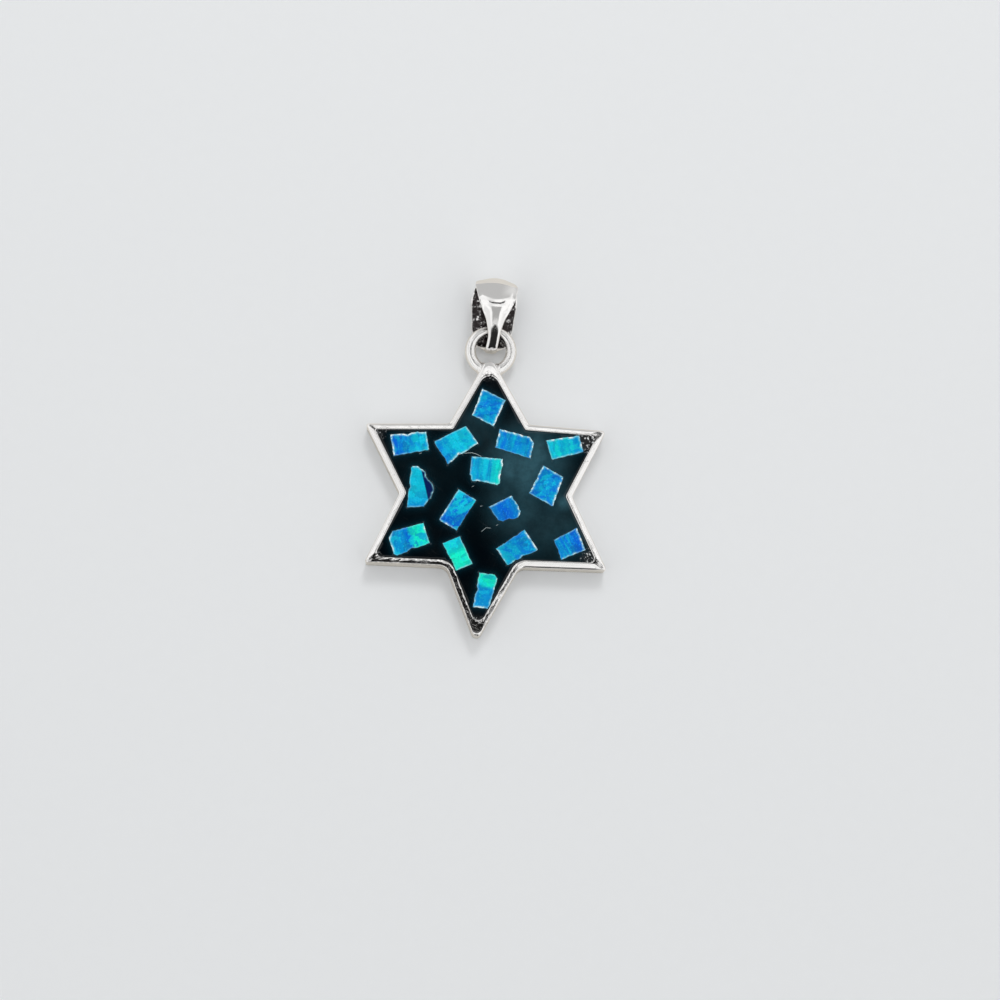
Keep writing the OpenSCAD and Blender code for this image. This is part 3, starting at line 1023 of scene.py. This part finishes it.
def sheet_profile(steps):
    """Points round the sheet's section: [across from -1 to 1, (depth, edge rounding) as in SHEET_EDGE]."""
    section = [(-1 + 2 * k / steps, (0.0, 1.0)) for k in range(steps + 1)]
    section += [(1.0, row) for row in SHEET_EDGE[1:-1]]
    section += [(1 - 2 * k / steps, (1.0, 1.0)) for k in range(steps + 1)]
    section += [(-1.0, row) for row in SHEET_EDGE[-2:0:-1]]
    return section


def build_bail(bail, material, inner_material):
    """The bent sheet, domed across and flared from its tongue to its full width."""
    centre, lean, head_bend, foot_bend, sheet = bail_frame()
    (head_y, head_out), (foot_y, foot_out) = head_bend, foot_bend
    rise = math.atan2(head_out - foot_out, head_y - foot_y)
    length = head_y + head_out - (foot_y - foot_out)
    path, profile = bail_path(bail, head_bend, foot_bend), sheet_profile(ACROSS_STEPS)
    points = []
    for outer, a in path:
        front = outer[1] > head_out + (outer[0] - head_y) * math.tan(rise)
        share = np.clip((outer[0] - (foot_y - foot_out)) / length, 0, 1)
        flare, shift = smooth_row(BAIL_FRONT if front else BAIL_BACK, share)
        half = (bail.tongue + max(flare, 0) * (bail.width - bail.tongue)) / 2
        corner = np.clip((share - CORNER_START) / (1 - CORNER_START), 0, 1) ** 2 if front else 0
        for v, (depth, rounding) in profile:
            reach = half - bail.edge * (1 - math.sqrt(max(0.0, 1 - rounding ** 2)))
            crown = bail.crown * min(1, half / (FULL_CROWN * MM)) ** CROWN_POWER * v * v
            point = outer + facing(a) * (-crown - depth * (sheet - 2 * crown))
            cut = 1 - corner * (bail.corner_cut if v > 0 else LEFT_CUT * bail.corner_cut)
            points.append((shift * bail.front_shift + v * reach * cut, point[0], point[1]))
    points = np.array(points)
    points[:, :2] = turned(points[:, :2], lean) + np.array(centre)[:2]
    faces = ring_faces(len(path), len(profile), closed=True)
    piece = new_piece("bail_sheet", points, faces, material, replaces=["bail"])
    piece.data.materials.append(inner_material)
    # The inner faces take the silver with painted shade and painted reflections
    inner = {k for k, (_, (depth, _)) in enumerate(profile) if depth == 1}
    for face in piece.data.polygons:
        if all(i % len(profile) in inner for i in face.vertices):
            face.material_index = 1


# Inlay

# Each chip: its turn in degrees, the colours at its start, middle and end along that turn, those of its spots
# and dark parts, [place of the middle, blend, streaks, their turn in degrees, mottle], where its cut edge
# catches the light: [bearing from the chip's middle in degrees, strength], and where it is chipped, or swells
# if negative: [bearing in degrees, half width in degrees, depth in mm]
CHIPS = {
    "opal_01": (10, "deep azure cyan", "cyan", "deep", (0.42, 0.3, 0.3, 0, 0.4),
                [(180, 1.0), (95, 0.9), (0, 0.8), (-80, 0.35)], [(105, 25, 0.12), (60, 12, -0.06)]),
    "opal_02": (33, "azure cyan cyan", "cyan", "deep", (0.5, 0.4, 0.15, 0, 0.4),
                [(150, 0.6), (-50, 0.8), (10, 0.9), (75, 0.5)], [(-70, 14, 0.16), (-105, 12, -0.08)]),
    "opal_03": (-14, "azure azure azure", "cyan", "deep", (0.5, 0.3, 0.65, 0, 0.3),
                [(10, 1.0), (80, 0.9), (165, 0.8), (-100, 0.2)], [(150, 15, 0.05)]),
    "opal_04": (14, "cyan cyan azure", "green", "azure", (0.5, 0.4, 0.25, 0, 0.35),
                [(0, 1.0), (-90, 0.6), (180, 0.5), (95, 0.9)], [(60, 14, 0.06)]),
    "opal_05": (-85, "cyan cyan azure", "cyan", "azure", (0.55, 0.35, 0.1, 0, 0.3),
                [(88, 1.0), (-5, 0.6), (-110, 0.6), (160, 0.3)],
                [(6, 52, -0.45), (170, 22, 0.12), (-125, 12, 0.05)]),
    "opal_06": (-6, "azure cyan green", "cyan", "azure", (0.5, 0.55, 0.95, 0, 0.15),
                [(0, 1.0), (-90, 0.7), (100, 0.7), (180, 0.6)], [(-140, 14, -0.16), (20, 14, -0.1)]),
    "opal_07": (69, "azure azure azure", "cyan", "deep", (0.4, 0.4, 0.15, 45, 0.7),
                [(140, 1.0), (-30, 1.0), (60, 0.6), (-120, 0.4)], []),
    "opal_08": (60, "deep azure cyan", "cyan", "deep", (0.38, 0.3, 0.3, 60, 0.7),
                [(125, 0.8), (-150, 0.9), (40, 0.4)], []),
    "opal_09": (29, "azure deep azure", "azure", "deep", (0.45, 0.45, 0.15, 0, 0.3),
                [(5, 1.0), (110, 0.6), (-160, 0.2)], [(-4, 20, 0.14), (-36, 34, -0.3)]),
    "opal_10": (21, "azure deep green", "cyan", "azure", (0.5, 0.14, 0.25, 0, 0.75),
                [(0, 0.8), (175, 1.0), (80, 0.4), (-110, 0.4)], [(-75, 22, 0.12)]),
    "opal_11": (117, "green green cyan", "green", "cyan", (0.45, 0.4, 0.15, 0, 0.4),
                [(30, 0.4), (-60, 0.5), (180, 0.3)], []),
    "opal_12": (33, "cyan azure azure", "cyan", "deep", (0.4, 0.4, 0.15, 45, 0.5),
                [(-5, 1.0), (25, 1.0), (-130, 0.6), (120, 0.2)], [(-45, 30, 0.13)]),
    "opal_13": (27, "azure azure deep", "cyan", "deep", (0.4, 0.4, 0.75, 3, 0.05),
                [(8, 1.0), (-30, 1.0), (110, 0.4)], [(-150, 14, 0.06)]),
    "opal_14": (79, "azure azure green", "cyan", "azure", (0.52, 0.2, 0.1, 0, 0.45),
                [(-90, 0.8), (0, 0.6), (180, 0.5), (70, 0.4)], [(175, 24, 0.14)]),
    "opal_15": (70, "azure azure azure", "cyan", "deep", (0.5, 0.4, 0.15, 30, 0.6),
                [(-20, 1.0), (160, 1.0), (-110, 0.6), (70, 0.5)], []),
}
# How fine a chip's streaks usually are, and where they differ
USUAL_STREAK_SCALE = 2.6
STREAK_SCALES = {"opal_13": 5.0, "opal_06": 2.2}
# The line on opal_05 beyond which its sloping side shows through the resin, in mm
SIDE_LINE = ((-5.73, 1.92), (-5.13, -0.28))
# The spacing of the points on a chip's face, along its edge and on the resin, in mm
CHIP_GRID = 0.055
CHIP_STEP = 0.09
RESIN_GRID = 0.2
# How far a chip's ground edge is softened, in mm
CHIP_SOFTENING = 0.012
# How long the coarse and the fine nicks in a chip's edge are, in mm
COARSE_NICK = 0.75
FINE_NICK = 0.3
# How bright a chip's painted edge highlight is where the edge faces away from the light, and how long its
# brighter parts are in mm
DIM_EDGE = 0.07
EDGE_PARTS = 0.4
# How soft the line is where opal_05's side begins, in mm
SIDE_BLEND = 0.08


def ragged(outline, step, depth, seed):
    """An outline cut into short steps and nicked a little."""
    points = []
    for here, there in zip(outline, np.roll(outline, -1, axis=0)):
        count = max(2, int(round(np.linalg.norm(there - here) / step)))
        points += [here + (there - here) * k / count for k in range(count)]
    points = np.array(points)
    nick = noise_at(points, COARSE_NICK * MM, seed) + 0.6 * noise_at(points, FINE_NICK * MM, seed + 5)
    return points + inwards(points) * (depth * (0.2 + np.abs(nick) * 1.4))[:, None]


def chipped(points, nicks):
    """An outline pulled towards its middle round some bearings."""
    middle = points.mean(axis=0)
    away = points - middle
    bearings = np.degrees(np.arctan2(away[:, 1], away[:, 0]))
    for bearing, half_width, depth in nicks:
        off = np.abs((bearings - bearing + 180) % 360 - 180) / half_width
        away = away - unit(away) * (depth * MM * np.clip(1 - off ** 2, 0, 1) ** 1.5)[:, None]
    return middle + away


def chip_outlines(inlay):
    """Each chip's nicked outline, anticlockwise."""
    outlines = {}
    for i, node in enumerate(OPAL_NODES):
        outline = ragged(top_outlines(node)[0], CHIP_STEP * MM, inlay.chip_ragging, 3.0 * i)
        outlines[node] = chipped(outline, CHIPS[node][6])
    return outlines


def build_chip(node, outline, inlay, material, seed):
    """A chip with a soft ground edge. Its painted edge highlights are stronger where the cut faces the light.
    """
    low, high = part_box(node)
    to_inside = inwards(outline, 2)
    light = np.full(len(outline), DIM_EDGE)
    for bearing, strength in CHIPS[node][5]:
        faced = np.clip(-to_inside @ facing(math.radians(bearing)), 0, 1)
        light = np.maximum(light, strength * faced ** 2.5)
    light = np.clip(light * (1 + 0.9 * noise_at(outline, EDGE_PARTS * MM, 20.0 + seed)), 0.05, 1)
    soft = CHIP_SOFTENING * MM
    inner = outline + soft * to_inside
    size = len(outline)
    plan, triangles = filled(inner, [], grid_inside(inner, CHIP_GRID * MM))
    points = np.concatenate([
        np.column_stack([outline, np.full(size, low[2])]),
        np.column_stack([outline, np.full(size, high[2] - soft)]),
        np.column_stack([plan, np.full(len(plan), high[2])])])
    faces = ring_faces(3, size)
    faces.append(range(size - 1, -1, -1))
    faces += [tuple(2 * size + i for i in triangle) for triangle in triangles]
    nearest = np.linalg.norm(points[:, None, :2] - outline[None], axis=2).argmin(axis=1)
    width = inlay.edge_width * (0.4 + light[nearest])
    fade = np.clip(1.6 - 1.6 * distance_to(points[:, :2], outline) / width, 0, 1)
    piece = new_piece(node + "_chip", points, faces, material, replaces=[node])
    keep_flat(piece, lambda face: len(face.vertices) > 4 or abs(face.normal.z) > 0.99)
    point_values(piece, "edge_light", light[nearest] ** 0.7 * fade)
    side = np.zeros(len(points))
    if node == "opal_05":
        from_point, to_point = np.array(SIDE_LINE) * MM
        beyond = (points[:, :2] - from_point) @ left_of(unit(to_point - from_point))
        side = np.clip(beyond / (SIDE_BLEND * MM) + 0.5, 0, 1)
    point_values(piece, "chip_side", side)


def grid_inside(outline, step):
    """Points of a triangular grid inside a closed outline, clear of its edge."""
    low, high = outline.min(axis=0), outline.max(axis=0)
    columns, rows = ((high - low) / step).astype(int) + 2
    grid = [low + step * np.array([i + 0.5 * (j % 2), j]) for i in range(columns) for j in range(rows)]
    grid = np.array(grid)
    return grid[inside(grid, outline) & (distance_to(grid, outline) > 0.5 * step)]


def filled(outline, holes, extra):
    """Triangles that fill a closed outline round its holes, and the points in their order with extra ones."""
    loops = [outline] + holes
    edges, start = [], 0
    for loop in loops:
        edges += [(start + k, start + (k + 1) % len(loop)) for k in range(len(loop))]
        start += len(loop)
    plan = np.concatenate(loops + [extra])
    points, _, faces, _, _, _ = delaunay_2d_cdt([Vector(p / MM) for p in plan], edges, [], 0, 1e-6)
    if len(points) != len(plan):
        raise RuntimeError("an inlay outline crosses itself or another")
    middles = np.array([plan[list(face)].mean(axis=0) for face in faces])
    keep = inside(middles, outline)
    for hole in holes:
        keep &= ~inside(middles, hole)
    return plan, [tuple(face) for face, kept in zip(faces, keep) if kept]


# Rough ends of the resin in the star's inner tips, with painted glints: [bearing in degrees, reach in mm,
# strength]
ROUGH_ENDS = [
    (90, 1.4, 0.9), (30, 1.9, 1.0), (150, 1.2, 0.4), (330, 1.6, 0.8), (270, 1.3, 0.6), (210, 1.0, 0.3),
]
# Hairlines and specks in the resin, as lines through points in mm, each after its strength
FLECKS = [
    (0.6, [(-1.17, 0.93), (-1.12, 0.96)]), (0.7, [(-0.4, -0.84), (-0.34, -0.82)]),
    (0.7, [(1.09, -2.49), (1.14, -2.45)]), (0.5, [(-5.92, 3.7), (-5.86, 3.73)]),
    (0.55, [(-0.195, -3.069), (0.147, -2.739), (0.503, -2.769)]),
    (0.75, [(-2.861, 3.676), (-2.1, 3.9), (-1.355, 3.973), (-0.9, 3.86), (-0.541, 3.693)]),
]
# Painted reflection in the resin, drawn as milky haze: [x and y of the middle in mm, reach in mm, strength]
HAZE_REFLECTIONS = [
    (3.6, 3.1, 3.4, 1.0), (3.0, -0.5, 3.0, 0.5), (6.2, -1.6, 4.2, 0.34), (7.0, -0.3, 0.9, 0.8),
    (-0.7, 6.6, 2.2, 0.28), (-5.0, 2.5, 5.5, 0.045),
]
# How far the resin lies inside the well's wall and below its packed top, and how high it waves, in mm
RESIN_GAP = 0.004
RESIN_SINK = 0.008
RESIN_WAVE = 0.006
# How far apart the fine points are that carry the glow round the chips and the flecks, in mm
GLOW_RING = 0.08
FLECK_STEP = 0.06
FLECK_SIDE = 0.035
# How far the glow's points stay from the edges, and the flecks from the chips, in mm
GLOW_CLEAR = 0.05
FLECK_CLEAR = 0.03
# How far a fleck's line wanders, and over what length, in mm
FLECK_WANDER = 0.02
WANDER_LENGTH = 0.2


def resin_sheet(well, outlines, flecks):
    """The plan of the resin's top, with finer points round the chips and the flecks: [points, triangles]."""
    grid = grid_inside(well, RESIN_GRID * MM)
    grid = grid[clear_of(grid, outlines, 0.5 * RESIN_GRID * MM)]
    extra = [grid]
    for outline in outlines:
        near = (outline - GLOW_RING * MM * inwards(outline))[::2]
        fine = inside(near, well) & (distance_to(near, well) > GLOW_CLEAR * MM)
        extra.append(near[fine & clear_of(near, outlines, GLOW_CLEAR * MM)])
    for _, line, _ in flecks:
        extra = [near[distance_to_points(near, line) > GLOW_RING * MM] for near in extra]
    extra += [side for _, _, side in flecks] + [line for _, line, _ in flecks]
    return filled(well, [outline[::-1] for outline in outlines], np.concatenate(extra))


def build_resin(inlay, outlines, material):
    """The resin round the chips: one sheet cut to the well and the chips, with its sides and pockets."""
    corners, _, well_radii, walls = star_sizes()
    low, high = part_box("resin")
    chip_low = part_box(OPAL_NODES[0])[0]
    well = rounded_outline(inset(corners, walls - RESIN_GAP * MM), well_radii)
    flecks = fleck_points(outlines)
    plan, faces = resin_sheet(well, outlines, flecks)
    wave = noise_at(plan, 2.5 * MM, 4.0) * RESIN_WAVE * MM
    points = [np.column_stack([plan, high[2] - RESIN_SINK * MM + wave])]
    start, total = 0, len(plan)
    for size, bottom in [(len(well), low[2])] + [(len(outline), chip_low[2]) for outline in outlines]:
        points.append(np.column_stack([plan[start:start + size], np.full(size, bottom)]))
        faces += [(start + (i + 1) % size, start + i, total + i, total + (i + 1) % size) for i in range(size)]
        faces.append(tuple(range(total + size - 1, total - 1, -1)))
        start += size
        total += size
    points = np.concatenate(points)
    piece = new_piece("resin_inlay", points, faces, material, replaces=["resin"])
    keep_flat(piece, lambda face: len(face.vertices) > 3)
    flat = points[:, :2]
    near = np.min([distance_to(flat, outline) for outline in outlines], axis=0)
    # Painted glow, fading with the distance from the nearest chip
    point_values(piece, "chip_glow", np.exp(-near / inlay.glow_reach))
    haze_reflection, fleck = np.zeros(len(points)), np.zeros(len(points))
    # Painted reflection, drawn as milky haze round the given middles
    for x, y, reach, strength in HAZE_REFLECTIONS:
        away = np.linalg.norm(flat - np.array([x, y]) * MM, axis=1) / (reach * MM)
        haze_reflection = np.maximum(haze_reflection, strength * np.exp(-1.2 * away ** 2.5))
    point_values(piece, "haze_reflection", haze_reflection)
    rough = tip_patches(points, inset(corners, walls), ROUGH_ENDS, wander=0.25, lump=0.4, fade=0.6)
    point_values(piece, "rough_end", rough)
    for strength, line, _ in flecks:
        fleck = np.maximum(fleck, strength * (distance_to_points(flat, line) < 0.001 * MM))
    point_values(piece, "fleck", fleck)


def fleck_points(outlines):
    """Each fleck's strength, points along it and points on both sides of it, all clear of the chips."""
    made = []
    for strength, corners in FLECKS:
        corners, line = np.array(corners) * MM, []
        for here, there in zip(corners[:-1], corners[1:]):
            count = max(1, int(np.linalg.norm(there - here) / (FLECK_STEP * MM)))
            line += [here + (there - here) * k / count for k in range(count)]
        line = np.array(line + [corners[-1]])
        across = left_of(unit(np.gradient(line, axis=0)))
        line = line + across * (FLECK_WANDER * MM * noise_at(line, WANDER_LENGTH * MM, strength))[:, None]
        side = np.concatenate([line + FLECK_SIDE * MM * across, line - FLECK_SIDE * MM * across])
        line, side = (points[clear_of(points, outlines, FLECK_CLEAR * MM)] for points in (line, side))
        made.append((strength, line, side))
    return made


# Operators

class PENDANT_OT_star_tray(bpy.types.Operator):
    """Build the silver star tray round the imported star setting"""
    bl_idname = "pendant.star_tray"
    bl_label = "Star Tray"

    def execute(self, context):
        silver = context.scene.pendant_silver
        rim = silver_material("rim_silver", silver.silver_tint, (0.05, 0.17), stained=True)
        back = silver_material("back_silver", silver.silver_tint, (0.16, 0.34), scratch=2.5, pits=0.4)
        build_star_tray(silver, rim, back)
        return {"FINISHED"}


class PENDANT_OT_jump_ring(bpy.types.Operator):
    """Build the jump ring and its solder"""
    bl_idname = "pendant.jump_ring"
    bl_label = "Jump Ring"

    def execute(self, context):
        tint = context.scene.pendant_silver.silver_tint
        wire = silver_material("wire_silver", tint, (0.13, 0.3), wave=1.6, scratch=2.0, pits=0.7)
        build_jump_ring(wire)
        build_solder(wire)
        return {"FINISHED"}


class PENDANT_OT_bail(bpy.types.Operator):
    """Build the domed silver bail"""
    bl_idname = "pendant.bail"
    bl_label = "Bail"

    def execute(self, context):
        tint = context.scene.pendant_silver.silver_tint
        sheet = silver_material("bail_silver", tint, (0.04, 0.12), wave=0.6, scratch=0.5, pits=0.2)
        # The inside of the bend gets painted shade and painted reflections
        build_bail(context.scene.pendant_bail, sheet, inner_shade_material("bail_inner_silver", tint))
        return {"FINISHED"}


class PENDANT_OT_inlay(bpy.types.Operator):
    """Build the opal chips and the resin round them"""
    bl_idname = "pendant.inlay"
    bl_label = "Inlay"

    def execute(self, context):
        inlay = context.scene.pendant_inlay
        outlines = chip_outlines(inlay)
        for i, (node, outline) in enumerate(outlines.items()):
            material = opal_material(node, outline, inlay, i + 1)
            build_chip(node, outline, inlay, material, i)
        build_resin(inlay, list(outlines.values()), resin_material(inlay))
        return {"FINISHED"}


class PENDANT_OT_stage(bpy.types.Operator):
    """Build the pale floor, the light tent, the lamp and the camera"""
    bl_idname = "pendant.stage"
    bl_label = "Stage"

    def execute(self, context):
        stage = context.scene.pendant_stage
        build_floor(stage)
        build_tent(stage)
        build_lamp(stage)
        build_camera(stage)
        context.scene.view_settings.view_transform = "Standard"
        return {"FINISHED"}


# Stage

# Grey and dark panels of the light tent, as seen from the pendant: [lowest and highest x of the direction,
# lowest and highest y, how far their sides bend to higher y, width of their soft edges, brightness]
TENT_PANELS = [
    ((-0.45, 0.45), (0.42, 1.1), 0.5, 0.03, 0.5),
    ((0.3, 0.75), (0.6, 1.2), 0.5, 0.16, 0.72),
    ((-0.3, 0.3), (-0.715, -0.42), 0, 0.025, 0.4),
    ((-0.45, 0.45), (-0.975, -0.745), 0, 0.01, 0.02),
    ((-0.76, -0.66), (-0.5, 0.6), 0, 0.03, 0.45),
    ((0.60, 0.70), (-0.5, 0.6), 0, 0.03, 0.5),
    ((-0.31, 0.37), (0.06, 0.21), 1.1, 0.02, 0.03),
    ((-0.22, 0.24), (0.035, 0.27), 0, 0.02, 0.012),
]
# The tent's cloth, and the plain wall that the camera sees beyond the floor
TENT_CLOTH = (1.0, 0.998, 0.992, 1)
FAR_WALL = (0.76, 0.775, 0.79, 1)
# The lamp's place and width
LAMP_PLACE = (0.04, 0.3, 0.36)
LAMP_WIDTH = 0.16
# How many steps the floor has along each side
FLOOR_STEPS = 8
# The width of the camera's film in mm, and the nearest and furthest that it sees
FILM_WIDTH = 36
NEAREST = 0.005
FURTHEST = 20


def build_floor(stage):
    """The square floor, in steps that are small beside it."""
    half, row = stage.floor_size / 2, FLOOR_STEPS + 1
    places = [half * (2 * i / FLOOR_STEPS - 1) for i in range(row)]
    points = [(x, y, 0) for y in places for x in places]
    corners = [j * row + i for j in range(FLOOR_STEPS) for i in range(FLOOR_STEPS)]
    mesh = bpy.data.meshes.new("floor")
    mesh.from_pydata(points, [], [(c, c + 1, c + row + 1, c + row) for c in corners])
    mesh.materials.append(floor_material(stage))
    floor = bpy.data.objects.new("floor", mesh)
    bpy.context.scene.collection.objects.link(floor)


def build_tent(stage):
    """The world: a white tent, a little dimmer round its foot and in its folds, with grey and dark panels."""
    world = bpy.data.worlds.new("light_tent")
    world.use_nodes = True
    bpy.context.scene.world = world
    tree = world.node_tree
    tree.nodes.clear()
    direction = add(tree, "ShaderNodeTexCoord")["Generated"]
    parts = add(tree, "ShaderNodeSeparateXYZ", {"Vector": direction})
    x, y, height = parts["X"], parts["Y"], parts["Z"]
    bright = height.ranged(0.0, 0.3, 0.7, 1.0) * direction.noise(2.3).ranged(0.45, 0.62, 1.0, 0.8)
    above = height.maths("GREATER_THAN", height, 0.0)
    for (x_low, x_high), (y_low, y_high), bend, soft, level in TENT_PANELS:
        mask = above
        for place, low, high in ((x, x_low, x_high), (x * x * -bend + y, y_low, y_high)):
            mask = mask * place.ranged(low - soft, low + soft) * place.ranged(high + soft, high - soft)
        bright = bright * (1.0 - mask) + mask * level
    inputs = {"Color": TENT_CLOTH, "Strength": bright * stage.tent_light}
    tent = add(tree, "ShaderNodeBackground", inputs)[0]
    plain = add(tree, "ShaderNodeBackground", {"Color": FAR_WALL, "Strength": 1.0})[0]
    seen = add(tree, "ShaderNodeLightPath")["Is Camera Ray"]
    both = add(tree, "ShaderNodeMixShader", {0: seen, 1: tent, 2: plain})[0]
    add(tree, "ShaderNodeOutputWorld", {"Surface": both})


def build_lamp(stage):
    """The soft lamp beyond the bail, which throws the pendant's shadow towards its foot."""
    light = bpy.data.lights.new("key", "AREA")
    light.shape = "DISK"
    light.size = LAMP_WIDTH
    light.energy = stage.key_power
    lamp = bpy.data.objects.new("key", light)
    lamp.location = LAMP_PLACE
    lamp.rotation_mode = "QUATERNION"
    lamp.rotation_quaternion = lamp.location.to_track_quat("Z", "Y")
    lamp.visible_glossy = False
    bpy.context.scene.collection.objects.link(lamp)


def build_camera(stage):
    """The camera, leaned and turned as it stood over the pendant."""
    back = Vector((-math.sin(stage.side), -math.sin(stage.tilt), 0))
    back.z = math.sqrt(1 - back.length_squared)
    up = (Vector((0, 1, 0)) - back * back.y).normalized()
    right = up.cross(back)
    right = right * math.cos(stage.lean) + up * math.sin(stage.lean)
    data = bpy.data.cameras.new("camera")
    data.lens = stage.lens
    data.sensor_width = FILM_WIDTH
    data.clip_start = NEAREST
    data.clip_end = FURTHEST
    camera = bpy.data.objects.new("camera", data)
    turn = Matrix((right, back.cross(right), back)).transposed().to_4x4()
    camera.matrix_world = Matrix.Translation(Vector(stage.target) + back * stage.distance) @ turn
    bpy.context.scene.collection.objects.link(camera)
    bpy.context.scene.camera = camera


class PENDANT_PT_panel(bpy.types.Panel):
    bl_idname = "PENDANT_PT_panel"
    bl_label = "Star Pendant"
    bl_space_type = "VIEW_3D"
    bl_region_type = "UI"
    bl_category = "Pendant"

    def draw(self, context):
        for name in SETTINGS:
            group = getattr(context.scene, name)
            box = self.layout.box()
            for key in group.__annotations__:
                box.prop(group, key)
        for operator in OPERATORS:
            self.layout.operator(operator.bl_idname)


SETTINGS = {
    "pendant_silver": PendantSilverSettings,
    "pendant_inlay": PendantInlaySettings,
    "pendant_bail": PendantBailSettings,
    "pendant_stage": PendantStageSettings,
}
OPERATORS = (
    PENDANT_OT_stage, PENDANT_OT_star_tray, PENDANT_OT_jump_ring, PENDANT_OT_bail, PENDANT_OT_inlay,
)


def register():
    for settings in SETTINGS.values():
        bpy.utils.register_class(settings)
    for name, settings in SETTINGS.items():
        setattr(bpy.types.Scene, name, bpy.props.PointerProperty(type=settings))
    for operator in OPERATORS:
        bpy.utils.register_class(operator)
    bpy.utils.register_class(PENDANT_PT_panel)


def unregister():
    bpy.utils.unregister_class(PENDANT_PT_panel)
    for operator in OPERATORS:
        bpy.utils.unregister_class(operator)
    for name, settings in SETTINGS.items():
        delattr(bpy.types.Scene, name)
        bpy.utils.unregister_class(settings)


def main():
    register()
    hand_polish_group()
    lapping_group()
    opal_fire_group()
    edge_light_group()
    bpy.ops.pendant.stage()
    bpy.ops.pendant.star_tray()
    bpy.ops.pendant.jump_ring()
    bpy.ops.pendant.bail()
    bpy.ops.pendant.inlay()


if __name__ == "__main__":
    main()
